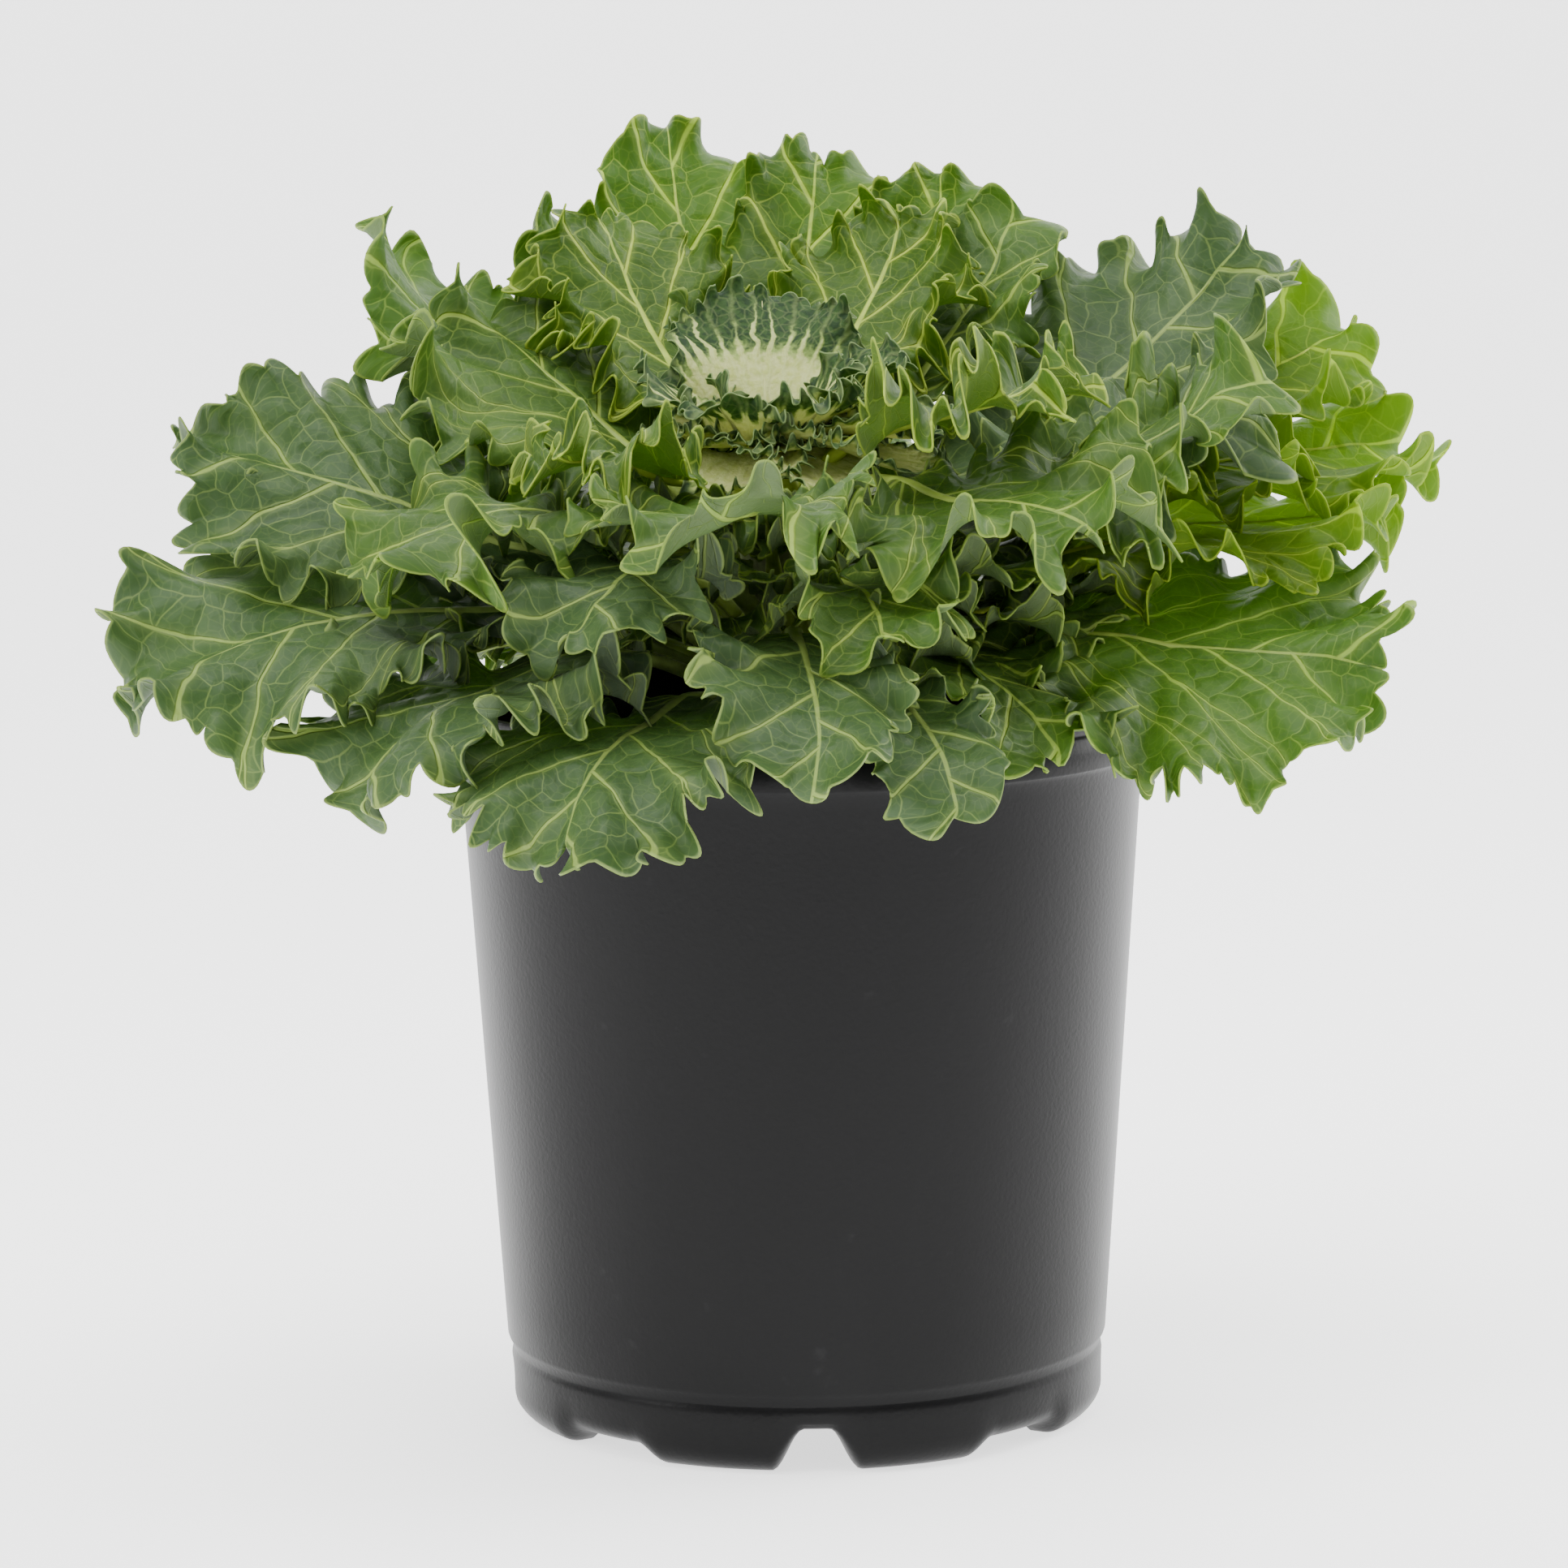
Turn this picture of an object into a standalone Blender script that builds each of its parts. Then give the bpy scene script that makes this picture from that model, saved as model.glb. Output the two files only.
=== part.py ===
"""Ornamental kale in a black nursery pot.

Metres, +Z up. The origin is the middle of the pot's foot, on the floor.
The pot is a moulded shell with feet between eight drain notches, and it holds the potting soil. The kale's
stalk stands in a hole in the soil. Each leaf is one waved blade on its own petiole, seated on the stalk, and
the cream rosette of the heart sits on the stalk's top.
"""

import math
from collections import namedtuple

import bmesh
import bpy
import numpy as np
from mathutils import Matrix, Vector
from mathutils.bvhtree import BVHTree

# Pot, a trade gallon nursery pot
POT_HEIGHT = 0.1720
RIM_RADIUS = 0.0825
COLLAR_HEIGHT = 0.0125
COLLAR_STEP = 0.0011
LIP_HEIGHT = 0.0040
LIP_GROOVE = 0.0006
RIM_EDGE = 0.0007
WALL_TOP_RADIUS = 0.0813
WALL_FOOT_RADIUS = 0.0710
WALL_FOOT_Z = 0.0270
GROOVE_RADIUS = 0.0680
GROOVE_Z = 0.0170
FOOT_RADIUS = 0.0688
FOOT_ROUND = 0.0070
FOOT_FLAT_WIDTH = 0.0040
FLOOR_Z = 0.0130
WALL = 0.0015
POT_STEPS = 36
NOTCH_COUNT = 8
NOTCH_TURN = -88.4
NARROW_NOTCH = 0.0112
NARROW_DEPTH = 0.0100
WIDE_NOTCH = 0.0235
WIDE_DEPTH = 0.0037
NOTCH_FLARE = 0.0035
NOTCH_SHOULDER = 0.0025
NOTCH_OVERSHOOT = 0.0020
DRAIN_RADIUS = 0.0050
DRAIN_CIRCLE = 0.0420
DRAIN_COUNT = 4

# Soil and stalk
FIT_GAP = 0.0003
SOIL_Z = 0.1540
SOIL_LUMP = 0.0014
SOIL_STEPS = 18
SOIL_RINGS = (0.024, 0.042, 0.060)
STALK_RADIUS = 0.0100
STALK_NECK_RADIUS = 0.0085
STALK_SIDES = 20
STALK_FOOT_Z = 0.1300
STALK_TOP_Z = 0.2200
STALK_LEAN = Vector((-0.10, -0.20))
STALK_SLANT = math.sqrt(1 + STALK_LEAN.length_squared)

# Leaf blades and petioles
BLADE_THICK = 0.0010
RIB_THICK = 0.0020
PETIOLE_THICK = 0.0038
PETIOLE_EDGE = 0.0022
PETIOLE_HALF = 0.0031
PETIOLE_ROWS = 3
PETIOLE_FREE = 0.6
HELD = 0.05
HUB_SHARE = 0.42
RING_SHARES = (0.36, 0.68, 0.87, 1.00)
TOOTH = 0.045
LOBE = 0.050
FEWEST_LOBES, MOST_LOBES = 4, 6
FAN = 0.16
WARP = (0.10, 0.09, 0.06)
SWELL = (0.22, 0.18)
CALM_START, CALM_END = 0.25, 1.00
WAVE_START = 0.28
WAVE_RISE = 1.6
BOW = 0.38
CURVE_STEPS = 40
SEAT_LOW_Z = 0.1620
SEAT_TURN = 44
SEAT_ROOM = 0.0010
SEAT_ROUNDS = 12

# Room between leaves
CLEARANCE = 0.0036
SEARCH = 0.0220
PUSH_LIMIT = 0.0015
SIDE_SLOPE = 1.6
SIDE_ROOM = 0.0012
CLEAR_ROUNDS = 90
FINE_ROUNDS = 30
EASE = 0.15
RIM_CLEARANCE = 0.0030
RIM_SHOULDER = 0.0100
OUTER_SLOPE = 1.6
INNER_SLOPE = 0.9
RIM_PUSH = 0.6

Leaf = namedtuple("Leaf", "name azimuth reach height rise fall stem width cup roll sweep waves frill")

# From the lowest leaf on the stalk to the highest. Each leaf lies over the ones before it.
LEAVES = (
    Leaf("back_leaf_1", 55, 0.142, 0.178, 30, -50, 0.34, 0.092, 10, 0, 0, 7, 0.0080),
    Leaf("back_leaf_2", 98, 0.132, 0.180, 34, -48, 0.34, 0.094, 10, 0, 0, 7, 0.0080),
    Leaf("back_leaf_3", 141, 0.142, 0.176, 32, -52, 0.34, 0.090, 10, 0, 0, 7, 0.0080),
    Leaf("apron_leaf_left", -113, 0.136, 0.148, 36, -75, 0.42, 0.078, 10, 0, 0, 8, 0.0055),
    Leaf("drooping_leaf_left", -139, 0.130, 0.157, 42, -72, 0.38, 0.084, 5, 0, 0, 8, 0.0070),
    Leaf("drooping_leaf_right", -18, 0.144, 0.184, 38, -22, 0.34, 0.110, -15, 40, 14, 9, 0.0070),
    Leaf("apron_leaf_small", -72, 0.116, 0.153, 44, -75, 0.50, 0.028, 20, 0, 0, 5, 0.0055),
    Leaf("spread_leaf_left", -162, 0.163, 0.179, 36, -34, 0.36, 0.084, 5, -34, 0, 8, 0.0085),
    Leaf("spread_leaf_right", 8, 0.148, 0.210, 36, -12, 0.34, 0.084, 15, 20, 0, 7, 0.0080),
    Leaf("apron_leaf_middle", -91, 0.120, 0.160, 48, -66, 0.44, 0.046, 20, 0, 0, 6, 0.0075),
    Leaf("back_leaf_4", 74, 0.122, 0.226, 42, -5, 0.36, 0.084, 15, 0, 0, 6, 0.0080),
    Leaf("back_leaf_5", 120, 0.126, 0.230, 42, 0, 0.36, 0.084, 15, 0, 0, 6, 0.0080),
    Leaf("side_leaf_left", 179, 0.148, 0.232, 40, 22, 0.34, 0.076, 20, -48, 0, 8, 0.0070),
    Leaf("side_leaf_right", 21, 0.165, 0.224, 42, 4, 0.36, 0.080, 15, 25, 0, 8, 0.0080),
    Leaf("upper_leaf_right", 26, 0.156, 0.256, 46, 30, 0.36, 0.068, 25, 20, 0, 7, 0.0075),
    Leaf("rear_leaf_left", 155, 0.112, 0.289, 48, 55, 0.38, 0.050, 25, 0, 0, 6, 0.0070),
    Leaf("rear_leaf_middle_left", 107, 0.106, 0.313, 50, 64, 0.36, 0.050, 25, 0, 0, 6, 0.0060),
    Leaf("rear_leaf_small_left", 132, 0.094, 0.291, 52, 64, 0.40, 0.038, 25, 0, 0, 5, 0.0060),
    Leaf("rear_leaf_middle_right", 87, 0.094, 0.303, 52, 66, 0.38, 0.046, 25, 0, 0, 6, 0.0060),
    Leaf("tall_leaf_right", 29, 0.126, 0.282, 52, 48, 0.34, 0.074, 30, 15, 0, 8, 0.0070),
    Leaf("side_leaf_inner_right", 1, 0.106, 0.256, 54, 40, 0.36, 0.058, 25, 0, 0, 6, 0.0085),
    Leaf("fan_leaf_small", 66, 0.088, 0.297, 54, 68, 0.38, 0.042, 25, 0, 0, 5, 0.0060),
    Leaf("rear_leaf_right", 46, 0.086, 0.284, 54, 64, 0.40, 0.042, 25, 0, 0, 5, 0.0065),
    Leaf("front_leaf_low", -78, 0.100, 0.184, 52, -65, 0.42, 0.044, 20, 0, 0, 5, 0.0070),
    Leaf("front_leaf_left", -117, 0.110, 0.190, 54, -64, 0.40, 0.046, 20, 0, 0, 6, 0.0075),
    Leaf("front_leaf_outer_left", -147, 0.116, 0.202, 54, -62, 0.36, 0.068, 15, 0, 0, 7, 0.0085),
    Leaf("front_leaf_right", -20, 0.122, 0.236, 52, 45, 0.36, 0.062, 25, 10, 0, 7, 0.0080),
    Leaf("front_leaf_wide_right", -52, 0.112, 0.218, 54, 10, 0.36, 0.074, 20, 0, 0, 7, 0.0090),
    Leaf("front_leaf_middle", -104, 0.104, 0.222, 54, 38, 0.36, 0.060, 25, 0, 0, 6, 0.0090),
    Leaf("tall_leaf_left", 156, 0.095, 0.260, 54, 45, 0.28, 0.090, 30, -12, 0, 8, 0.0070),
    Leaf("inner_leaf_left", -134, 0.084, 0.230, 56, 34, 0.36, 0.056, 25, 0, 0, 6, 0.0080),
    Leaf("fan_leaf_left", 130, 0.078, 0.288, 60, 66, 0.30, 0.056, 35, 0, 0, 7, 0.0060),
    Leaf("fan_leaf_right", 66, 0.070, 0.286, 60, 68, 0.30, 0.056, 35, 0, 0, 7, 0.0060),
    Leaf("inner_leaf_right", -46, 0.084, 0.252, 58, 36, 0.36, 0.068, 30, 0, 0, 7, 0.0085),
)

# Small leaves of the rosette, grown out of its core
HEART_LEAVES = (
    Leaf("heart_leaf_back", 100, 0.022, 0.268, 74, 50, 0.16, 0.048, 50, 0, 0, 5, 0.0030),
    Leaf("heart_leaf_right", -8, 0.026, 0.254, 56, 25, 0.20, 0.032, 50, 0, 0, 4, 0.0030),
    Leaf("heart_leaf_left", -172, 0.038, 0.250, 52, 20, 0.20, 0.032, 50, 0, 0, 4, 0.0030),
    Leaf("heart_leaf_front_right", -74, 0.036, 0.246, 60, 20, 0.24, 0.028, 50, 0, 0, 4, 0.0030),
    Leaf("heart_leaf_front_left", -118, 0.042, 0.244, 56, 15, 0.24, 0.030, 50, 0, 0, 4, 0.0030),
    Leaf("heart_bud_right", -40, 0.016, 0.254, 76, 60, 0.15, 0.022, 60, 0, 0, 3, 0.0022),
    Leaf("heart_bud_left", -150, 0.024, 0.250, 76, 60, 0.15, 0.022, 60, 0, 0, 3, 0.0022),
)
HEART_ROOT_Z = 0.2260
HEART_SEED = 600
HEART_CORE_RADIUS = 0.0082
HEART_CORE_CUT = 0.35
HEART_SEAT_RADIUS = 0.0052
HEART_CORE_HEIGHT = 0.0140
HEART_THICK = 0.0008
HEART_PETIOLE_THICK = 0.0028

# Young leaves at the right, which the light shines through
BRIGHT_LEAVES = ("spread_leaf_right", "side_leaf_right", "upper_leaf_right")

# Finishes: colour, roughness
FINISHES = {
    "black_plastic": ((0.012, 0.012, 0.013), 0.45),
    "potting_soil": ((0.050, 0.032, 0.020), 0.95),
    "stalk_green": ((0.330, 0.400, 0.180), 0.60),
    "leaf_green": ((0.080, 0.190, 0.045), 0.55),
    "leaf_bright": ((0.160, 0.320, 0.050), 0.55),
    "heart_cream": ((0.640, 0.680, 0.380), 0.60),
}


def clear_scene():
    for obj in list(bpy.data.objects):
        bpy.data.objects.remove(obj, do_unlink=True)


def make_finish(name):
    colour, roughness = FINISHES[name]
    finish = bpy.data.materials.new(name)
    finish.use_nodes = True
    shader = finish.node_tree.nodes["Principled BSDF"]
    shader.inputs["Base Color"].default_value = (*colour, 1.0)
    shader.inputs["Roughness"].default_value = roughness
    return finish


def add_object(name, data, collection, finish=None):
    obj = bpy.data.objects.new(name, data)
    collection.objects.link(obj)
    if finish is not None:
        data.materials.append(finish)
    return obj


def mesh_object(name, verts, faces, collection, finish=None):
    mesh = bpy.data.meshes.new(name)
    mesh.from_pydata([tuple(v) for v in verts], [], [tuple(f) for f in faces])
    mesh.shade_smooth()
    return add_object(name, mesh, collection, finish)


def apply_modifiers(obj):
    graph = bpy.context.evaluated_depsgraph_get()
    mesh = bpy.data.meshes.new_from_object(obj.evaluated_get(graph))
    obj.modifiers.clear()
    obj.data = mesh


def add_boolean(obj, operation, cutter=None, collection=None):
    boolean = obj.modifiers.new(operation.lower(), "BOOLEAN")
    boolean.operation = operation
    boolean.solver = "EXACT"
    if collection is not None:
        boolean.operand_type = "COLLECTION"
        boolean.collection = collection
    else:
        boolean.object = cutter


def hide_cutter(obj):
    obj.hide_render = True
    obj.display_type = "WIRE"


def turned_object(name, profile, steps, collection, finish):
    """A closed profile of (radius, height) points, turned once round Z."""
    obj = mesh_object(name, [(r, 0.0, z) for r, z in profile], [], collection, finish)
    obj.data.edges.add(len(profile))
    for i, edge in enumerate(obj.data.edges):
        edge.vertices = (i, (i + 1) % len(profile))
    screw = obj.modifiers.new("turn", "SCREW")
    screw.steps = steps
    screw.render_steps = steps
    screw.use_merge_vertices = True
    screw.merge_threshold = 0.00001
    screw.use_smooth_shade = True
    return obj


def keep_largest_body(obj):
    """Fill sealed hollows and drop loose scraps: only the body with the most points stays."""
    bm = bmesh.new()
    bm.from_mesh(obj.data)
    left = set(bm.verts)
    bodies = []
    while left:
        body = set()
        todo = [left.pop()]
        while todo:
            vert = todo.pop()
            body.add(vert)
            for edge in vert.link_edges:
                other = edge.other_vert(vert)
                if other in left:
                    left.remove(other)
                    todo.append(other)
        bodies.append(body)
    bodies.sort(key=len)
    for body in bodies[:-1]:
        bmesh.ops.delete(bm, geom=list(body), context="VERTS")
    bm.to_mesh(obj.data)
    bm.free()


# Pot

def wall_radius(z):
    """Outer radius of the plain tapered wall at a height."""
    share = (z - WALL_FOOT_Z) / (POT_HEIGHT - COLLAR_HEIGHT - WALL_FOOT_Z)
    return WALL_FOOT_RADIUS + share * (WALL_TOP_RADIUS - WALL_FOOT_RADIUS)


def pot_profile():
    """The shell's section: down the outer side, under the foot and back up the inner side."""
    collar_z = POT_HEIGHT - COLLAR_HEIGHT
    groove_z = POT_HEIGHT - LIP_HEIGHT
    edge = RIM_EDGE
    outer = [
        (RIM_RADIUS - edge, POT_HEIGHT),
        (RIM_RADIUS, POT_HEIGHT - edge),
        (RIM_RADIUS, groove_z + edge),
        (RIM_RADIUS - LIP_GROOVE, groove_z),
        (RIM_RADIUS, groove_z - edge),
        (RIM_RADIUS - 0.0002, collar_z + edge),
        (RIM_RADIUS - COLLAR_STEP, collar_z),
        (WALL_FOOT_RADIUS, WALL_FOOT_Z),
        (WALL_FOOT_RADIUS - 0.0005, WALL_FOOT_Z - 0.0045),
        (GROOVE_RADIUS + 0.0006, GROOVE_Z + 0.0020),
        (GROOVE_RADIUS, GROOVE_Z),
        (FOOT_RADIUS, GROOVE_Z - 0.0025),
        (FOOT_RADIUS, FOOT_ROUND),
    ]
    for degrees in (30, 60, 90):
        turn = math.radians(degrees)
        outer.append((FOOT_RADIUS - FOOT_ROUND * (1 - math.cos(turn)), FOOT_ROUND * (1 - math.sin(turn))))
    foot_inner = FOOT_RADIUS - FOOT_ROUND - FOOT_FLAT_WIDTH
    skirt_inner = FOOT_RADIUS - 2 * WALL
    foot_top = 1.4 * WALL
    inner = [
        (foot_inner, 0.0),
        (foot_inner, foot_top),
        (FOOT_RADIUS - FOOT_ROUND, foot_top),
        (skirt_inner, FOOT_ROUND),
        (skirt_inner, FLOOR_Z - WALL),
        (DRAIN_RADIUS, FLOOR_Z - WALL),
        (DRAIN_RADIUS, FLOOR_Z),
        (GROOVE_RADIUS - WALL, FLOOR_Z),
        (GROOVE_RADIUS - WALL, GROOVE_Z + 0.0030),
        (WALL_FOOT_RADIUS - WALL, WALL_FOOT_Z),
        (wall_radius(collar_z) - WALL, collar_z),
        (RIM_RADIUS - COLLAR_STEP - WALL, POT_HEIGHT - edge),
        (RIM_RADIUS - COLLAR_STEP - WALL + 0.0004, POT_HEIGHT),
    ]
    return outer + inner


def notch_cutter(index, collection):
    """A block with a round-shouldered, flared section, laid across the foot ring."""
    width, depth = (WIDE_NOTCH, WIDE_DEPTH) if index % 2 else (NARROW_NOTCH, NARROW_DEPTH)
    half = 0.5 * width
    shoulder = min(NOTCH_SHOULDER, 0.45 * depth)
    below = -NOTCH_OVERSHOOT
    side = [
        (half + NOTCH_FLARE * 1.15, below),
        (half + NOTCH_FLARE, 0.0006),
        (half + NOTCH_FLARE * 0.55, 0.3 * depth),
        (half + 0.0004, depth - shoulder),
        (half - 0.3 * shoulder, depth - 0.3 * shoulder),
        (half - shoulder, depth),
    ]
    section = side + [(-y, z) for y, z in reversed(side)]
    count = len(section)
    inner_r = FOOT_RADIUS - FOOT_ROUND - FOOT_FLAT_WIDTH - 3 * NOTCH_OVERSHOOT
    outer_r = FOOT_RADIUS + 3 * NOTCH_OVERSHOOT
    verts = [(r, y, z) for r in (inner_r, outer_r) for y, z in section]
    faces = [tuple(range(count))[::-1], tuple(range(count, 2 * count))]
    faces += [(i, (i + 1) % count, count + (i + 1) % count, count + i) for i in range(count)]
    cutter = mesh_object(f"notch_cutter_{index}", verts, faces, collection)
    cutter.rotation_euler.z = math.radians(NOTCH_TURN + index * 360 / NOTCH_COUNT)
    hide_cutter(cutter)
    return cutter


def drain_cutter(index, collection):
    turn = math.radians(NOTCH_TURN + (index + 0.5) * 360 / DRAIN_COUNT)
    mesh = bpy.data.meshes.new(f"drain_cutter_{index}")
    bm = bmesh.new()
    bmesh.ops.create_cone(bm, cap_ends=True, segments=12, radius1=DRAIN_RADIUS, radius2=DRAIN_RADIUS,
                          depth=4 * WALL)
    bm.to_mesh(mesh)
    bm.free()
    cutter = add_object(mesh.name, mesh, collection)
    cutter.location = (DRAIN_CIRCLE * math.cos(turn), DRAIN_CIRCLE * math.sin(turn), FLOOR_Z - WALL / 2)
    hide_cutter(cutter)
    return cutter


def make_pot(collection, cutters, finish):
    pot = turned_object("nursery_pot", pot_profile(), POT_STEPS, collection, finish)
    for index in range(NOTCH_COUNT):
        add_boolean(pot, "DIFFERENCE", cutter=notch_cutter(index, cutters))
    for index in range(DRAIN_COUNT):
        add_boolean(pot, "DIFFERENCE", cutter=drain_cutter(index, cutters))
    return pot


# Soil and stalk

def soil_height(x, y):
    """Gentle lumps on the soil, level round the stalk and at the wall."""
    lump = math.sin(310 * x + 1.3) * math.cos(270 * y - 0.7) + 0.6 * math.sin(520 * y + 400 * x)
    return SOIL_Z + SOIL_LUMP * lump


def make_soil(collection, finish):
    fit = WALL + FIT_GAP
    hole = STALK_RADIUS + 1.6 * FIT_GAP
    foot_r = GROOVE_RADIUS - fit
    profile = [(r, SOIL_Z) for r in (hole, *SOIL_RINGS)]
    profile += [
        (wall_radius(SOIL_Z) - fit, SOIL_Z),
        (WALL_FOOT_RADIUS - fit, WALL_FOOT_Z),
        (foot_r, GROOVE_Z + 0.0026),
        (foot_r, FLOOR_Z + FIT_GAP),
        (0.0, FLOOR_Z + FIT_GAP),
        (0.0, STALK_FOOT_Z - FIT_GAP),
        (hole, STALK_FOOT_Z - FIT_GAP),
    ]
    soil = mesh_object("potting_soil", [(r, 0.0, z) for r, z in profile], [], collection, finish)
    soil.data.edges.add(len(profile) - 1)
    on_axis = [r == 0.0 for r, z in profile]
    starts = [i for i in range(len(profile)) if not (on_axis[i] and on_axis[(i + 1) % len(profile)])]
    for edge, start in zip(soil.data.edges, starts):
        edge.vertices = (start, (start + 1) % len(profile))
    screw = soil.modifiers.new("turn", "SCREW")
    screw.steps = SOIL_STEPS
    screw.render_steps = SOIL_STEPS
    screw.use_merge_vertices = True
    screw.merge_threshold = 0.00001
    apply_modifiers(soil)
    wall_r = wall_radius(SOIL_Z) - fit
    for vert in soil.data.vertices:
        r = math.hypot(vert.co.x, vert.co.y)
        if vert.co.z > SOIL_Z - FIT_GAP and hole + FIT_GAP < r < wall_r - FIT_GAP:
            vert.co.z = soil_height(vert.co.x, vert.co.y)
    return soil


def stalk_centre(z):
    rise = max(z - SOIL_Z, 0.0)
    return np.array((STALK_LEAN.x * rise, STALK_LEAN.y * rise, z))


def stalk_radius(z):
    share = min(max((z - SOIL_Z) / (STALK_TOP_Z - SOIL_Z), 0.0), 1.0)
    return STALK_RADIUS + share * (STALK_NECK_RADIUS - STALK_RADIUS)


def make_stalk(collection, finish):
    curve = bpy.data.curves.new("stalk", "CURVE")
    curve.dimensions = "3D"
    curve.bevel_depth = STALK_RADIUS
    curve.bevel_resolution = STALK_SIDES // 2 - 2
    curve.use_fill_caps = True
    heights = (STALK_FOOT_Z, SOIL_Z, 0.5 * (SOIL_Z + STALK_TOP_Z), STALK_TOP_Z)
    spline = curve.splines.new("POLY")
    spline.points.add(len(heights) - 1)
    for point, z in zip(spline.points, heights):
        point.co = (*stalk_centre(z), 1.0)
        point.radius = stalk_radius(z) / STALK_RADIUS
    return add_object("stalk", curve, collection, finish)


# Leaves

def unit(v):
    return v / np.linalg.norm(v, axis=-1, keepdims=True)


def heading(degrees, tilt=0.0):
    turn = math.radians(degrees)
    lift = math.radians(tilt)
    flat = math.cos(lift)
    return np.array((flat * math.cos(turn), flat * math.sin(turn), math.sin(lift)))


def smooth(x):
    x = np.clip(x, 0.0, 1.0)
    return x * x * (3 - 2 * x)


def seat_heights(leaves):
    """Where each petiole meets the stalk: as low as the petioles seated before it leave room for."""
    seats = []
    for leaf in leaves:
        height = SEAT_LOW_Z
        room = (PETIOLE_THICK + SEAT_ROOM) / math.cos(math.radians(leaf.rise))
        for other, taken in zip(leaves, seats):
            apart = abs((leaf.azimuth - other.azimuth + 180) % 360 - 180)
            if apart < SEAT_TURN:
                height = max(height, taken + room)
        seats.append(height)
    return seats


class Blade:
    """One leaf as a surface: a midrib curve with its side and upper directions, and a waved outline."""

    def __init__(self, leaf, seed, root, seat_radius=None):
        self.leaf = leaf
        draw = np.random.default_rng(seed)
        self.warp = draw.uniform(-1, 1, 3) * WARP
        self.swell = draw.uniform(0, 2 * math.pi, 3)
        self.lobes = int(draw.integers(FEWEST_LOBES, MOST_LOBES + 1))
        centre = stalk_centre(root)
        tip = heading(leaf.azimuth) * leaf.reach
        tip[2] = leaf.height
        out = tip - centre
        course = math.degrees(math.atan2(out[1], out[0]))
        start, end = course - leaf.sweep, course + leaf.sweep
        if seat_radius is None:
            lean = 0.5 * PETIOLE_THICK * math.sin(math.radians(leaf.rise))
            seat_radius = STALK_SLANT * stalk_radius(root) + FIT_GAP + lean
        foot = centre + heading(start) * seat_radius
        span = BOW * np.linalg.norm(tip - foot)
        points = (foot, foot + heading(start, leaf.rise) * span, tip - heading(end, leaf.fall) * span, tip)
        u = np.linspace(0.0, 1.0, CURVE_STEPS + 1)[:, None]
        weights = ((1 - u) ** 3, 3 * u * (1 - u) ** 2, 3 * u ** 2 * (1 - u), u ** 3)
        line = sum(w * p for w, p in zip(weights, points))
        along = unit(np.gradient(line, axis=0))
        turn = np.radians(start + (end - start) * u[:, 0] + 90)
        side = np.stack((np.cos(turn), np.sin(turn), np.zeros_like(turn)), axis=1)
        side = unit(side - along * np.sum(side * along, axis=1, keepdims=True))
        up = np.cross(along, side)
        roll = np.radians(leaf.roll) * smooth(u / max(leaf.stem, 0.2))
        self.side = side * np.cos(roll) + up * np.sin(roll)
        self.up = up * np.cos(roll) - side * np.sin(roll)
        self.line = line
        steps = np.linalg.norm(np.diff(line, axis=0), axis=1)
        self.arc = np.concatenate(([0.0], np.cumsum(steps)))
        self.length = self.arc[-1]
        self.end = along[-1]
        self.stem = leaf.stem * self.length
        self.blade = self.length - self.stem
        self.hub = self.stem + HUB_SHARE * self.blade
        self.curl = math.radians(leaf.cup) / leaf.width

    def bent(self, a, b, lift):
        """The point at a along the midrib, b across it and lift above it."""
        place = [np.interp(a, self.arc, self.line[:, k]) for k in range(3)]
        side = np.stack([np.interp(a, self.arc, self.side[:, k]) for k in range(3)], axis=-1)
        up = np.stack([np.interp(a, self.arc, self.up[:, k]) for k in range(3)], axis=-1)
        past = np.maximum(a - self.length, 0.0)[..., None] * self.end
        turn = (self.curl * b)[..., None]
        across = (b * np.sinc(self.curl * b / math.pi))[..., None]
        rise = (0.5 * self.curl * b * b * np.sinc(self.curl * b / (2 * math.pi)) ** 2)[..., None]
        normal = up * np.cos(turn) - side * np.sin(turn)
        return np.stack(place, axis=-1) + past + side * across + up * rise + normal * lift[..., None]

    def flat(self, s, t):
        """Flat place (a, b) and lift at the turn s round the hub, a share t of the way to the margin."""
        from_stem = s - math.pi
        w1, w2, w3 = self.warp
        turn = s + w1 * np.sin(2 * from_stem) + w2 * np.sin(3 * from_stem) + w3 * np.sin(from_stem)
        away = np.abs((from_stem + math.pi) % (2 * math.pi) - math.pi)
        calm = smooth((away - CALM_START) / (CALM_END - CALM_START))
        ahead = np.where(np.cos(turn) > 0, (1 - HUB_SHARE) * self.blade, HUB_SHARE * self.blade)
        half = 0.5 * self.leaf.width
        reach = 1 / np.sqrt((np.cos(turn) / ahead) ** 2 + (np.sin(turn) / half) ** 2)
        phase = self.leaf.waves * s
        cut = LOBE * np.cos(self.lobes * s + self.swell[0]) - TOOTH * np.cos(2 * phase)
        reach = reach * (1 + calm * t ** 3 * cut)
        a = self.hub + t * reach * np.cos(turn)
        b = t * reach * np.sin(turn) * (1 + FAN * np.cos(turn))
        size = 1 + SWELL[0] * np.sin(2 * s + self.swell[1]) + SWELL[1] * np.sin(3 * s + self.swell[2])
        rise = np.clip((t - WAVE_START) / (1 - WAVE_START), 0, 1) ** WAVE_RISE
        lift = self.leaf.frill * size * calm * rise * np.sin(phase)
        return a, b, lift

    def surface(self, s, t):
        return self.bent(*self.flat(np.asarray(s, float), np.asarray(t, float)))


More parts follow.
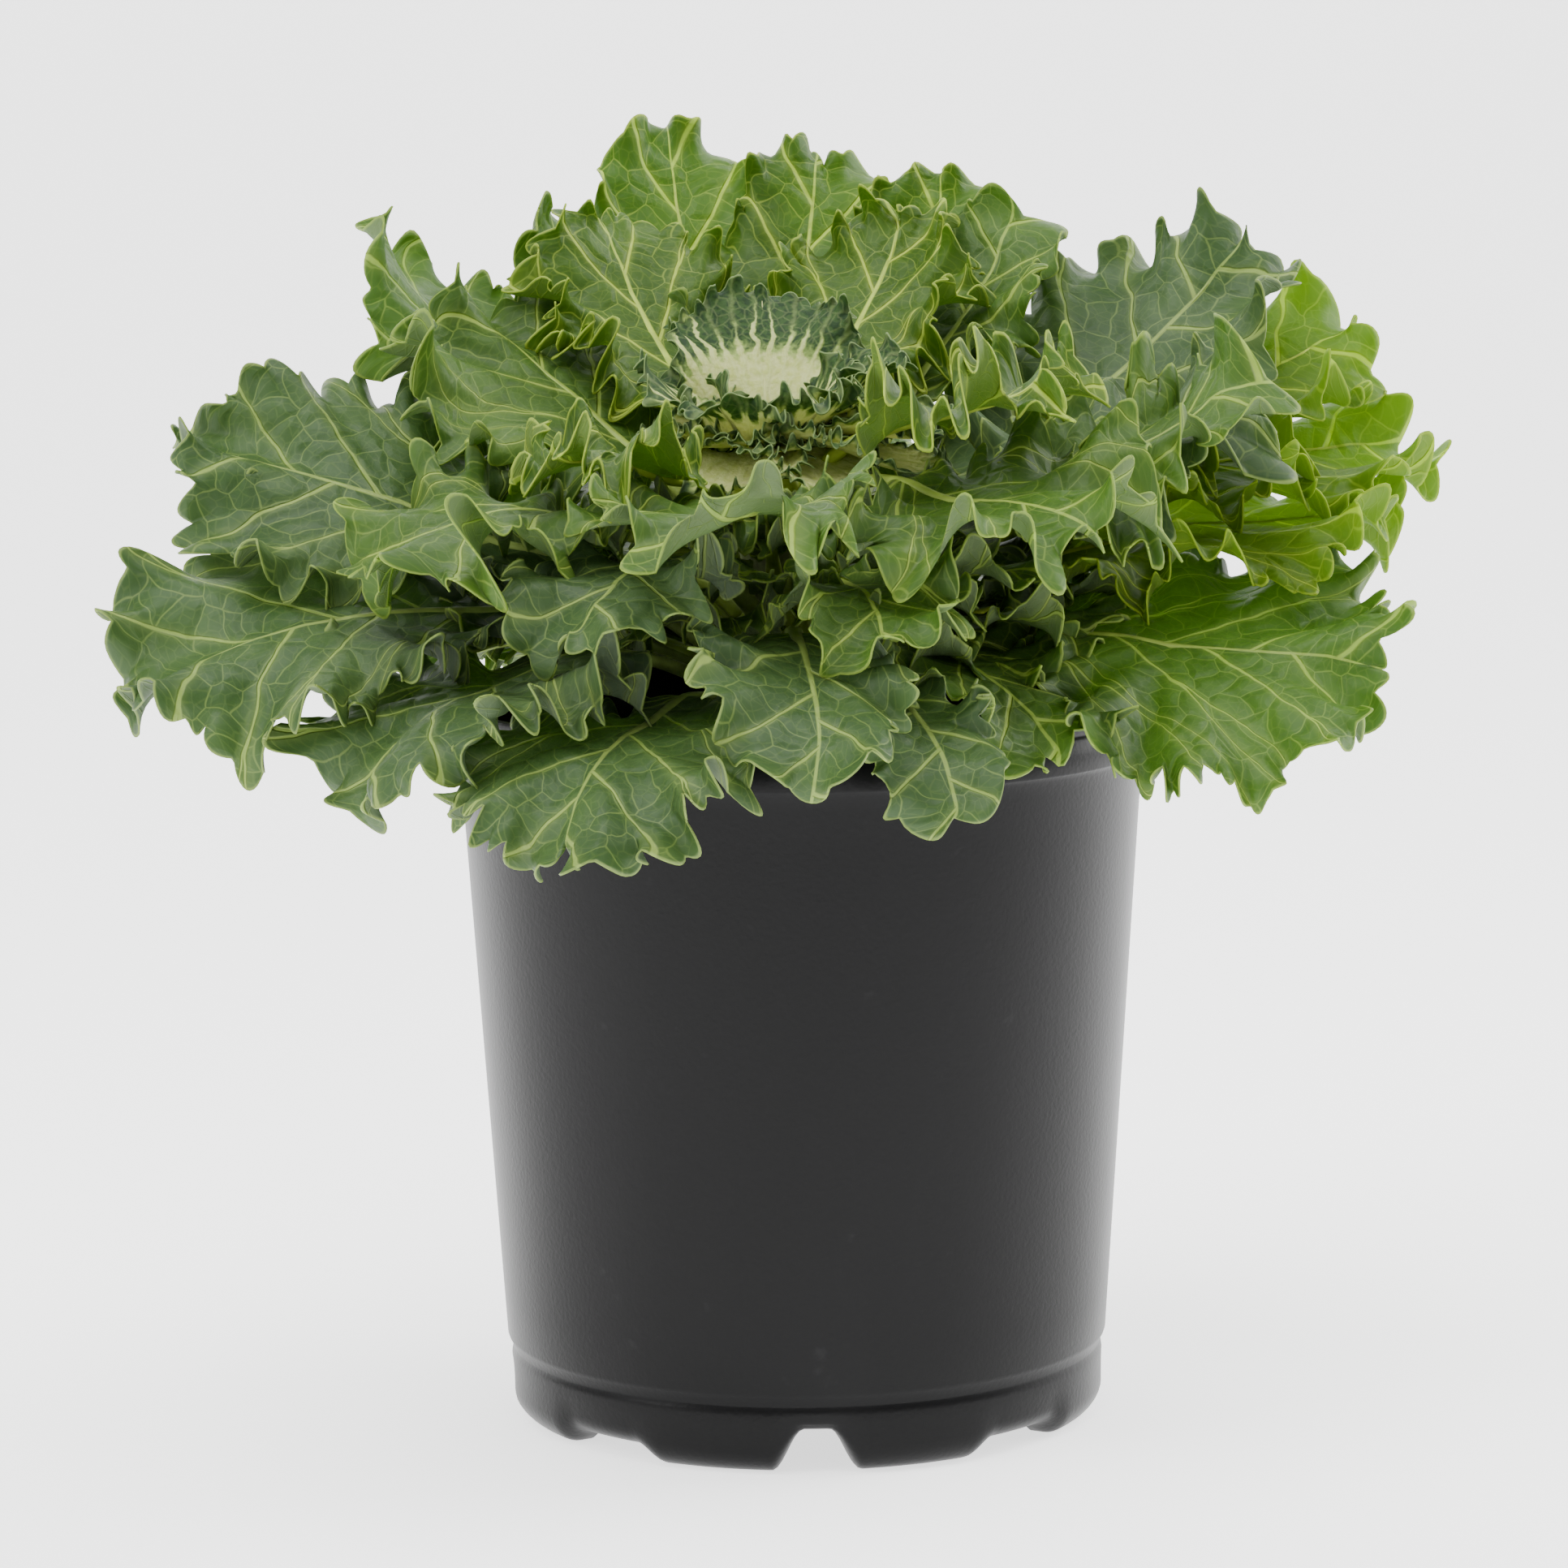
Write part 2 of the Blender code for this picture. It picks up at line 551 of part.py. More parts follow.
def ring_turns(waves, ring):
    """Turns of a ring's points: coarse rings inside, four points a wave at the margin."""
    if ring == 0:
        return 2 * math.pi * (np.arange(waves) + 0.5) / waves
    if ring == 1:
        return 2 * math.pi * (np.arange(2 * waves) + 0.5) / (2 * waves)
    return 2 * math.pi * np.arange(4 * waves) / (4 * waves)


def stitch(inner, outer):
    """Triangles between two closed rings given as (turn, index), inner with no more points than outer."""
    faces = []
    i = j = 0
    turn = 2 * math.pi
    while i < len(inner) or j < len(outer):
        next_in = inner[(i + 1) % len(inner)][0] + turn * ((i + 1) // len(inner))
        next_out = outer[(j + 1) % len(outer)][0] + turn * ((j + 1) // len(outer))
        here_in = inner[i % len(inner)]
        here_out = outer[j % len(outer)]
        if j < len(outer) and (i >= len(inner) or next_out - 1e-9 <= next_in):
            faces.append((here_in[1], here_out[1], outer[(j + 1) % len(outer)][1]))
            j += 1
        else:
            faces.append((here_in[1], here_out[1], inner[(i + 1) % len(inner)][1]))
            i += 1
    return faces


class Sheet:
    """A leaf's middle surface as triangles, with each point's thickness and how far it may be bent."""

    def __init__(self, blade, thick=BLADE_THICK, rib=RIB_THICK, petiole=True):
        waves = blade.leaf.waves
        self.name = blade.leaf.name
        self.blade = blade
        points = [blade.surface(0.0, 0.0)]
        self.thick = [rib]
        self.free = [1.0]
        rings = []
        for ring, share in enumerate(RING_SHARES):
            turns = ring_turns(waves, ring)
            start = len(points)
            rings.append([(turn, start + k) for k, turn in enumerate(turns)])
            for turn, point in zip(turns, blade.surface(turns, np.full(len(turns), share))):
                points.append(point)
                near = max(0.0, 1 - abs(turn - math.pi) / 0.5)
                self.thick.append(thick + near * (rib - thick) * (1.25 - share))
                self.free.append(1.0)
        first = rings[0]
        self.faces = [(0, first[k][1], first[(k + 1) % len(first)][1]) for k in range(len(first))]
        for inner, outer in zip(rings, rings[1:]):
            self.faces += stitch(inner, outer)
        if petiole:
            self.add_petiole(points, rings[-1], waves)
        self.points = np.array(points)
        self.rest = self.points.copy()
        self.thick = np.array(self.thick)
        self.free = np.array(self.free)
        self.samples = [(i,) for i in range(len(points))] + list(self.faces)
        self.sample()

    def sample(self):
        """The places tested against other leaves: every point and the middle of every triangle."""
        middles = self.points[np.array(self.faces)].mean(axis=1)
        self.sampled = np.concatenate((self.points, middles))

    def add_petiole(self, points, margin, waves):
        blade = self.blade
        row = [margin[2 * waves - 1][1], margin[2 * waves][1], margin[2 * waves + 1][1]]
        a, b, _ = blade.flat(np.array([margin[2 * waves + k][0] for k in (-1, 0, 1)]), np.ones(3))
        self.thick[row[0]] = self.thick[row[2]] = 0.5 * (BLADE_THICK + PETIOLE_EDGE)
        self.thick[row[1]] = 0.8 * PETIOLE_THICK
        top = float(a[1])
        wing = 0.5 * float(abs(b[0]) + abs(b[2]))
        for step in range(1, PETIOLE_ROWS + 1):
            share = step / PETIOLE_ROWS
            place = top * (1 - share)
            half = PETIOLE_HALF + (wing - PETIOLE_HALF) * (1 - share) ** 2
            lower = []
            for side, thick in ((1, PETIOLE_EDGE), (0, PETIOLE_THICK), (-1, PETIOLE_EDGE)):
                lower.append(len(points))
                points.append(blade.bent(np.array(place), np.array(side * half), np.array(0.0)))
                self.thick.append(thick)
                self.free.append(float(smooth(place / (0.9 * top)) * PETIOLE_FREE))
            self.faces += [(row[0], lower[0], lower[1]), (row[0], lower[1], row[1])]
            self.faces += [(row[1], lower[1], row[2]), (lower[1], lower[2], row[2])]
            row = lower
        for k in (-1, 0, 1):
            self.free[margin[2 * waves + k][1]] = 0.8

    def tree(self):
        return BVHTree.FromPolygons(self.points.tolist(), self.faces)

    def links(self):
        """Each point's neighbours, as pairs of index arrays."""
        pairs = set()
        for a, b, c in self.faces:
            pairs |= {(min(a, b), max(a, b)), (min(b, c), max(b, c)), (min(a, c), max(a, c))}
        pairs = np.array(sorted(pairs))
        return np.concatenate((pairs[:, 0], pairs[:, 1])), np.concatenate((pairs[:, 1], pairs[:, 0]))


def push_pair(low, high, low_tree, high_tree, moves):
    """Ask for moves that put near places of the high sheet above the low one, and the other way round."""
    pairs = ((high, low, low_tree, 1, 1, 0), (low, high, high_tree, -1, 0, 1))
    for one, other, tree, sign, who, whom in pairs:
        box_low = other.points.min(0) - SEARCH
        box_high = other.points.max(0) + SEARCH
        inside = np.all((one.sampled > box_low) & (one.sampled < box_high), axis=1)
        for index in np.nonzero(inside)[0]:
            place = Vector(one.sampled[index])
            spot, normal, face, far = tree.find_nearest(place, SEARCH)
            if spot is None:
                continue
            height = (place - spot).dot(normal) * sign
            if height >= CLEARANCE or far > SIDE_SLOPE * abs(height) + SIDE_ROOM:
                continue
            push = np.array(normal) * sign * min(0.5 * (CLEARANCE - height), PUSH_LIMIT)
            for corner in one.samples[index]:
                moves[who][corner] += push
                moves[who + 2][corner] += 1
            for corner in other.faces[face]:
                moves[whom][corner] -= push * 0.5
                moves[whom + 2][corner] += 0.5


def spread(field, links, rounds, share=0.5):
    """Even a field of moves out over a sheet, so that it bends and does not dent."""
    source, target = links
    count = np.bincount(target, minlength=len(field))[:, None]
    for _ in range(rounds):
        total = np.zeros_like(field)
        np.add.at(total, target, field[source])
        field = (1 - share) * field + share * total / np.maximum(count, 1)
    return field


def clear_of_pot(sheet):
    """Lift points off the soil and over the rim, and hold them off the stalk."""
    points = sheet.points
    loose = sheet.free > HELD
    radius = np.hypot(points[:, 0], points[:, 1])
    over = POT_HEIGHT + RIM_CLEARANCE
    beside = np.maximum(np.abs(radius - RIM_RADIUS) - RIM_SHOULDER, 0.0)
    least = over - beside * np.where(radius > RIM_RADIUS, OUTER_SLOPE, INNER_SLOPE)
    least = np.where(radius < RIM_RADIUS, np.maximum(least, SOIL_Z + 2 * SOIL_LUMP + RIM_CLEARANCE), least)
    low = loose & (points[:, 2] < least)
    points[low, 2] += RIM_PUSH * (least - points[:, 2])[low]
    for index in np.nonzero(loose & (points[:, 2] < STALK_TOP_Z + CLEARANCE))[0]:
        centre = stalk_centre(points[index, 2])
        away = points[index, :2] - centre[:2]
        far = np.hypot(*away)
        room = STALK_SLANT * stalk_radius(points[index, 2]) + 0.5 * PETIOLE_THICK + FIT_GAP
        if far < room:
            points[index, :2] = centre[:2] + away * (room / far)


def clear_leaves(sheets):
    """Bend the leaves clear of each other and of the pot."""
    links = [sheet.links() for sheet in sheets]
    for number in range(CLEAR_ROUNDS):
        trees = [sheet.tree() for sheet in sheets]
        moves = [np.zeros_like(sheet.points) for sheet in sheets]
        counts = [np.zeros(len(sheet.points)) for sheet in sheets]
        for i, low in enumerate(sheets):
            for j in range(i + 1, len(sheets)):
                high = sheets[j]
                if np.any(low.points.min(0) > high.points.max(0) + CLEARANCE):
                    continue
                if np.any(high.points.min(0) > low.points.max(0) + CLEARANCE):
                    continue
                push_pair(low, high, trees[i], trees[j], (moves[i], moves[j], counts[i], counts[j]))
        last = number >= CLEAR_ROUNDS - FINE_ROUNDS
        for sheet, move, count, link in zip(sheets, moves, counts, links):
            field = spread(move / np.maximum(count, 1)[:, None], link, 1 if last else 2)
            sheet.points += field * sheet.free[:, None]
            if not last:
                bent = sheet.points - sheet.rest
                sheet.points = sheet.rest + spread(bent, link, 1, EASE) * (sheet.free > 0)[:, None]
            clear_of_pot(sheet)
            sheet.sample()


def room_to_stalk(corners):
    """The least room between the stalk and the corners of a petiole's foot."""
    axis = unit(np.array((*STALK_LEAN, 1.0)))
    rooms = []
    for corner in corners:
        away = corner - stalk_centre(corner[2])
        rooms.append(np.linalg.norm(away - axis * np.dot(away, axis)) - stalk_radius(corner[2]))
    return min(rooms)


def seat_on_stalk(sheet):
    """Slide the petiole's foot along the petiole until it stands a fit gap off the stalk."""
    foot = sheet.points[-3:]
    along = unit(foot[1] - sheet.points[-5])
    up = unit(np.cross(foot[2] - foot[0], along))
    halves = 0.5 * sheet.thick[-3:, None] * up
    for _ in range(SEAT_ROUNDS):
        foot += along * (room_to_stalk((*(foot + halves), *(foot - halves))) - FIT_GAP)


def make_leaf(sheet, collection, finish):
    obj = mesh_object(sheet.name, sheet.points, sheet.faces, collection, finish)
    thickest = float(sheet.thick.max())
    group = obj.vertex_groups.new(name="thickness")
    for index, thick in enumerate(sheet.thick):
        group.add([index], float(thick) / thickest, "REPLACE")
    solidify = obj.modifiers.new("thickness", "SOLIDIFY")
    solidify.thickness = thickest
    solidify.offset = 0.0
    solidify.vertex_group = group.name
    return obj


def heart_sheets():
    """The rosette's leaves. They hold their place while the large leaves are bent clear of them."""
    sheets = []
    for number, leaf in enumerate(HEART_LEAVES):
        blade = Blade(leaf, HEART_SEED + number, HEART_ROOT_Z, seat_radius=HEART_SEAT_RADIUS)
        sheet = Sheet(blade, thick=HEART_THICK, rib=1.5 * HEART_THICK)
        sheet.thick = np.minimum(sheet.thick, HEART_PETIOLE_THICK)
        sheet.free[:] = 0.0
        sheets.append(sheet)
    return sheets


def make_heart_core(collection, finish):
    """A low dome with a flat foot, square to the stalk's top."""
    mesh = bpy.data.meshes.new("heart")
    bm = bmesh.new()
    bmesh.ops.create_uvsphere(bm, u_segments=12, v_segments=8, radius=HEART_CORE_RADIUS)
    low = -HEART_CORE_CUT * HEART_CORE_RADIUS
    bmesh.ops.bisect_plane(bm, geom=bm.verts[:] + bm.edges[:] + bm.faces[:], plane_co=(0, 0, low),
                           plane_no=(0, 0, -1), clear_outer=True)
    bmesh.ops.holes_fill(bm, edges=[edge for edge in bm.edges if edge.is_boundary])
    bmesh.ops.translate(bm, verts=bm.verts, vec=(0, 0, -low))
    bmesh.ops.scale(bm, verts=bm.verts, vec=(1, 1, HEART_CORE_HEIGHT / (HEART_CORE_RADIUS - low)))
    bmesh.ops.translate(bm, verts=bm.verts, vec=(0, 0, FIT_GAP))
    lean = Vector((STALK_LEAN.x, STALK_LEAN.y, 1.0)).to_track_quat("Z", "Y").to_matrix()
    place = Matrix.Translation(stalk_centre(STALK_TOP_Z)) @ lean.to_4x4()
    bmesh.ops.transform(bm, verts=bm.verts, matrix=place)
    bmesh.ops.triangulate(bm, faces=bm.faces)
    bmesh.ops.recalc_face_normals(bm, faces=bm.faces)
    bm.to_mesh(mesh)
    bm.free()
    return add_object("heart", mesh, collection, finish)


def make_heart(sheets, collection, cutters, finish):
    """The rosette: the core on the stalk's top with the heart leaves grown out of it."""
    heart = make_heart_core(collection, finish)
    union = bpy.data.collections.new("heart leaves")
    cutters.children.link(union)
    for sheet in sheets:
        apply_modifiers(make_leaf(sheet, union, finish))
    add_boolean(heart, "UNION", collection=union)
    apply_modifiers(heart)
    for obj in list(union.objects):
        bpy.data.objects.remove(obj, do_unlink=True)
    bpy.data.collections.remove(union)
    keep_largest_body(heart)
    return heart


def main():
    clear_scene()
    kale = bpy.data.collections.new("ornamental kale")
    cutters = bpy.data.collections.new("cutters")
    bpy.context.scene.collection.children.link(kale)
    bpy.context.scene.collection.children.link(cutters)
    finishes = {name: make_finish(name) for name in FINISHES}
    make_pot(kale, cutters, finishes["black_plastic"])
    make_soil(kale, finishes["potting_soil"])
    make_stalk(kale, finishes["stalk_green"])
    seats = seat_heights(LEAVES)
    sheets = [Sheet(Blade(leaf, number, seat)) for number, (leaf, seat) in enumerate(zip(LEAVES, seats))]
    rosette = heart_sheets()
    clear_leaves(sheets + rosette)
    for sheet in sheets:
        seat_on_stalk(sheet)
        make_leaf(sheet, kale, finishes["leaf_bright" if sheet.name in BRIGHT_LEAVES else "leaf_green"])
    make_heart(rosette, kale, cutters, finishes["heart_cream"])


main()
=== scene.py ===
import math
from collections import namedtuple

import bmesh
import bpy
import numpy as np
from mathutils import Matrix, Vector
from mathutils.bvhtree import BVHTree


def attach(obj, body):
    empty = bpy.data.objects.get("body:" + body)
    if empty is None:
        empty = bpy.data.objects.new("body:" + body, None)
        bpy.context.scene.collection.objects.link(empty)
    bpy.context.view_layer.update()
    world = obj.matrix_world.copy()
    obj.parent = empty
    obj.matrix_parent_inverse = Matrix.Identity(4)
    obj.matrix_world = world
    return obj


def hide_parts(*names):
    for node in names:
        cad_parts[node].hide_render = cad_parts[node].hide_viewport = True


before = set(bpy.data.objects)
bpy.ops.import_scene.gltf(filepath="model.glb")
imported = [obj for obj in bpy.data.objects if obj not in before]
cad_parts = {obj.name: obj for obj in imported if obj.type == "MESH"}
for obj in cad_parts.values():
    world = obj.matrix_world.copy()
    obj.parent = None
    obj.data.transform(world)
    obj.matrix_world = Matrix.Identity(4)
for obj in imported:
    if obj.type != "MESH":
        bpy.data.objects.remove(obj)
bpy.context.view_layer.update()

fitGap = 0.0003  # what the frame leaves between two solids
fullTurn = 2 * math.pi


# Small helpers

def unit(v):
    return v / np.linalg.norm(v, axis=-1, keepdims=True)


def heading(degrees, tilt=0.0):
    turn = math.radians(degrees)
    lift = math.radians(tilt)
    flat = math.cos(lift)
    return np.array((flat * math.cos(turn), flat * math.sin(turn), math.sin(lift)))


def risen(x, start, end=1.0):
    # 0 up to start, 1 from end on
    return np.clip((x - start) / (end - start), 0, 1)


def smooth(x):
    x = np.clip(x, 0.0, 1.0)
    return x * x * (3 - 2 * x)


def turnsOf(count, shift=0.0):
    return fullTurn * (np.arange(count) + shift) / count


def alongCurve(at, arc, rows):
    # Read places or directions that are known at the steps of a curve
    return np.stack([np.interp(at, arc, rows[:, k]) for k in range(3)], axis=-1)


def arcOf(line):
    steps = np.linalg.norm(np.diff(line, axis=0), axis=1)
    return np.concatenate(([0.0], np.cumsum(steps)))


def squareTo(side, along):
    return unit(side - along * np.sum(side * along, axis=1, keepdims=True))


def newObject(name, data):
    obj = bpy.data.objects.new(name, data)
    bpy.context.scene.collection.objects.link(obj)
    return obj


def newMesh(name, verts, faces, *materials):
    mesh = bpy.data.meshes.new(name)
    mesh.from_pydata(verts, [], faces)
    for material in materials:
        mesh.materials.append(material)
    mesh.shade_smooth()
    return mesh


def ringFaces(rows, sides, start=0, closed=False, inward=False):
    # Faces between rings of points, which close on the first ring or end in two caps
    faces = []
    for row in range(rows if closed else rows - 1):
        low = start + row * sides
        high = start + (row + 1) % rows * sides
        for k in range(sides):
            n = (k + 1) % sides
            face = (low + k, low + n, high + n, high + k)
            faces.append((face[0], *face[:0:-1]) if inward else face)
    if not closed:
        faces.append(tuple(range(start, start + sides))[::-1])
        faces.append(tuple(range(start + (rows - 1) * sides, start + rows * sides)))
    return faces


def place(piece, slot, *nodes):
    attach(piece, "root")
    if nodes:
        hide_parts(*nodes)


# Materials

leafGloss = 0.26


def sumStep(operation):
    return lambda self, *others: self.skin.calc(operation, self, *others)


class Term:
    # A value that shader nodes work out: arithmetic on it adds maths nodes
    __add__, __sub__, __mul__, __truediv__ = map(sumStep, ("ADD", "SUBTRACT", "MULTIPLY", "DIVIDE"))
    __abs__, scaled, atLeast = map(sumStep, ("ABSOLUTE", "MULTIPLY_ADD", "MAXIMUM"))

    def __init__(self, skin, socket):
        self.skin = skin
        self.socket = socket

    def above(self, low, high):
        # 0 below low, 1 above high
        return self.skin.node("MapRange", {0: self, 1: low, 2: high, 3: 0.0, 4: 1.0},
                              interpolation_type="SMOOTHSTEP")

    def below(self, low, high):
        return self.skin.calc("SUBTRACT", 1.0, self.above(low, high))


class Skin:
    # A material while its nodes are laid out
    def __init__(self, name):
        self.material = bpy.data.materials.new(name)
        self.material.use_nodes = True
        self.tree = self.material.node_tree
        self.tree.nodes.clear()

    def node(self, kind, inputs=None, output=0, **settings):
        made = self.tree.nodes.new("ShaderNode" + kind)
        for key, value in settings.items():
            setattr(made, key, value)
        for key, value in (inputs or {}).items():
            if isinstance(value, Term):
                self.tree.links.new(value.socket, made.inputs[key])
            else:
                made.inputs[key].default_value = value
        return Term(self, made.outputs[output])

    def calc(self, operation, *values):
        return self.node("Math", dict(enumerate(values)), operation=operation)

    def mix(self, share, *colours):
        one, other = (c if isinstance(c, Term) else (*c, 1) for c in colours)
        return self.node("Mix", {0: share, 6: one, 7: other}, 2, data_type="RGBA")

    def split(self, vector):
        first = self.node("SeparateXYZ", {0: vector})
        return first, Term(self, first.socket.node.outputs[1])

    def where(self):
        return self.node("TexCoord", output="Object")

    def stretched(self, scale):
        return self.node("Mapping", {"Vector": self.where(), "Scale": scale})

    def noise(self, at, scale, detail, output="Fac", flat=False):
        return self.node("TexNoise", {"Vector": at, "Scale": scale, "Detail": detail}, output,
                         noise_dimensions="2D" if flat else "3D")

    def cells(self, at, scale):
        return self.node("TexVoronoi", {"Vector": at, "Scale": scale}, "Distance",
                         feature="DISTANCE_TO_EDGE", voronoi_dimensions="2D")

    def far(self, u, v):
        return self.calc("SQRT", u * u + v * v)

    def rows(self, at, pace):
        # How far the nearest of many equal lines is, in steps, and a number drawn for that line
        count = at / pace
        index = self.calc("ROUND", count)
        chance = self.node("TexWhiteNoise", {"W": index}, "Value", noise_dimensions="1D")
        return abs(count - index), chance

    def plan(self):
        return self.node("UVMap", uv_map="leafPlan")

    def known(self, name):
        return self.node("Attribute", output="Fac", attribute_name=name)

    def bump(self, height, depth):
        return self.node("Bump", {"Height": height, "Distance": depth, "Strength": 1.0})

    def shine(self, colour, roughness, normal, specular=0.5):
        return self.node("BsdfPrincipled", {"Base Color": colour, "Roughness": roughness,
                                            "Normal": normal, "Specular IOR Level": specular})

    def finish(self, shader):
        out = self.tree.nodes.new("ShaderNodeOutputMaterial")
        self.tree.links.new(shader.socket, out.inputs[0])
        return self.material

    def finishLeaf(self, colour, through, share, height, roughness, depth):
        # A leaf lets a share of the light through
        normal = self.bump(height, depth)
        face = self.shine(colour, roughness, normal, leafGloss)
        glow = self.node("BsdfTranslucent", {"Color": through, "Normal": normal})
        return self.finish(self.node("MixShader", {0: share, 1: face, 2: glow}))


# Pot

pot = dict(
    height=0.172, rimRadius=0.0825, collarHeight=0.0125, collarStep=0.0011, lipHeight=0.004,
    lipGroove=0.0006, wallTopRadius=0.0813, wallFootRadius=0.071, wallFootZ=0.027, wall=0.0015, edge=0.0007,
    grooveRadius=0.068, grooveZ=0.017, footRadius=0.0712, footRound=0.007, footFlat=0.004, footTopZ=0.0128,
    floorZ=0.013, drainRadius=0.005, bellRadius=0.05,
    brimZ=0.0198, brimRadius=0.0721, creaseZ=0.0166, creaseRadius=0.0707,
    notchCount=8, notchTurn=-88.4, narrowDepth=0.01, wideDepth=0.0037, narrowNotch=0.0112,
    wideNotch=0.0235, notchFlare=0.0056, notchRound=0.0026, notchSink=0.0016, steps=400, sharp=50,
    black=(0.0016, 0.0016, 0.0018), dusty=(0.003, 0.003, 0.0033), scuffed=(0.06, 0.06, 0.062),
    peel=900.0, gloss=0.145,
)


def wallRadius(z):
    share = (z - pot["wallFootZ"]) / (pot["height"] - pot["collarHeight"] - pot["wallFootZ"])
    return pot["wallFootRadius"] + share * (pot["wallTopRadius"] - pot["wallFootRadius"])


def arcPoints(centreR, centreZ, radius, start, end, steps):
    turns = np.radians(np.linspace(start, end, steps))
    return [(centreR + radius * math.cos(t), centreZ + radius * math.sin(t)) for t in turns]


def potProfile():
    # Down the outer side, under the foot and back up the inner side
    top, wall, rim, step, edge = (pot[key] for key in ("height", "wall", "rimRadius", "collarStep", "edge"))
    collarZ, grooveZ = top - pot["collarHeight"], top - pot["lipHeight"]
    low, floor = pot["wallFootZ"], pot["floorZ"]
    brim, brimZ, crease, creaseZ = (pot[key] for key in ("brimRadius", "brimZ", "creaseRadius", "creaseZ"))
    foot, bell, drain = (pot[key + "Radius"] for key in ("foot", "bell", "drain"))
    roundR = pot["footRound"]
    inner = foot - roundR - pot["footFlat"]
    groove = pot["grooveRadius"] - wall
    lip = rim - step - wall
    heights = np.linspace(collarZ - 0.004, brimZ, 14)
    return [
        *arcPoints(rim - edge, top - edge, edge, 90, 0, 5),
        (rim, grooveZ + edge), (rim - pot["lipGroove"], grooveZ), (rim, grooveZ - edge),
        *arcPoints(rim - 0.0002 - edge, collarZ + edge, edge, 0, -60, 4),
        (rim - step + 0.0002, collarZ - 0.0008), (rim - step - 0.0001, collarZ - 0.0022),
        *((float(np.interp(z, (brimZ, collarZ), (brim, wallRadius(collarZ)))), z) for z in heights),
        (brim - 0.0003, brimZ - 0.0009), (brim - 0.0009, brimZ - 0.0018),
        (crease + 0.0004, creaseZ + 0.0008), (crease, creaseZ), (crease, creaseZ - 0.0005),
        (foot - 0.0002, creaseZ - 0.0012), (foot, creaseZ - 0.0024), (foot, 0.0115), (foot, 0.0095),
        *arcPoints(foot - roundR, roundR, roundR, 0, -90, 10),
        (inner + 0.001, 0.0), (inner, 0.0008), (inner, 1.4 * wall), (foot - roundR, 1.4 * wall),
        (foot - 2 * wall, roundR), (foot - 2 * wall, floor - wall), (bell, floor - wall),
        (drain, floor - wall), (drain, floor), (bell, floor), (groove, floor),
        (groove, pot["grooveZ"] + 0.003), (pot["wallFootRadius"] - wall, low),
        *((wallRadius(z) - wall, z) for z in np.linspace(low + 0.02, collarZ, 5)),
        (lip, top - edge), (lip + 0.0003, top - 0.0002), (lip + edge, top),
    ]


def notchHeight(turn):
    # How high the foot's lower edge is drawn up between the feet
    share = (turn - math.radians(pot["notchTurn"])) / fullTurn * pot["notchCount"]
    index = round(share)
    away = abs(share - index) * fullTurn / pot["notchCount"] * pot["footRadius"]
    kind = "wide" if index % 2 else "narrow"
    inside = pot["notchRound"]
    along = (away - 0.5 * pot[kind + "Notch"] + inside) / (pot["notchFlare"] + inside)
    return pot[kind + "Depth"] * (1 - float(smooth(along)))


def plasticMaterial():
    # Black moulded plastic: faint orange peel, dusty streaks and a soft sheen
    skin = Skin("black nursery plastic")
    at = skin.where()
    haze = skin.noise(skin.stretched((26.0, 26.0, 7.0)), 1.0, 5.0)
    colour = skin.mix(haze.above(0.35, 0.75), pot["black"], pot["dusty"])
    colour = skin.mix(skin.noise(at, 160.0, 6.0).above(0.66, 0.8) * 0.08, colour, pot["scuffed"])
    normal = skin.bump(skin.noise(at, pot["peel"], 2.0), 0.00006)
    return skin.finish(skin.shine(colour, haze.scaled(0.14, 0.27), normal, pot["gloss"]))


def makePot():
    profile = potProfile()
    footTop = pot["footTopZ"]
    verts = []
    for turn in turnsOf(pot["steps"]):
        lift = notchHeight(turn)
        sink = pot["notchSink"] * lift / pot["narrowDepth"]
        for r, z in profile:
            if r > pot["footRadius"] - 0.006 and z < footTop + 0.002:
                r -= sink * float(smooth((footTop + 0.002 - z) / 0.01))
            if r > pot["bellRadius"] + 0.002 and z < footTop:
                z = lift + z * (footTop - lift) / footTop
            verts.append((r * math.cos(turn), r * math.sin(turn), z))
    faces = ringFaces(pot["steps"], len(profile), closed=True)
    mesh = newMesh("moulded_pot", verts, faces, plasticMaterial())
    bm = bmesh.new()
    bm.from_mesh(mesh)
    bmesh.ops.recalc_face_normals(bm, faces=bm.faces)
    bm.to_mesh(mesh)
    bm.free()
    mesh.set_sharp_from_angle(angle=math.radians(pot["sharp"]))
    place(newObject("moulded_pot", mesh), "black_plastic", "nursery_pot")


# Soil

soil = dict(
    z=0.154, footZ=0.128, lump=0.0014, steps=150, rings=46, grain=0.0011, seed=21,
    ripples=26, rippleSize=(0.0022, 0.012), calmEdge=0.004, crumbs=620, paleShare=0.16, rimGap=0.006,
    barkSize=(0.0008, 0.0034), barkFlat=0.7, perliteSize=(0.0008, 0.0022), perliteFlat=1.0, lifted=0.35,
    clods=((0.012, 0.008, 0.005), (0.06, 0.036, 0.02)), chips=(0.15, 0.085, 0.04),
    bark=((0.03, 0.018, 0.01), (0.13, 0.075, 0.038)), perlite=((0.62, 0.6, 0.55), (0.8, 0.78, 0.72)),
)


def soilMaterial():
    skin = Skin("potting mix")
    at = skin.where()
    clod = skin.noise(at, 220.0, 6.0)
    chips, _ = skin.split(skin.node("TexVoronoi", {"Vector": at, "Scale": 420.0}, "Color"))
    colour = skin.mix(clod.above(0.35, 0.7), *soil["clods"])
    colour = skin.mix(chips.above(0.72, 0.92) * 0.7, colour, soil["chips"])
    return skin.finish(skin.shine(colour, 0.93, skin.bump(clod, 0.0012), 0.25))


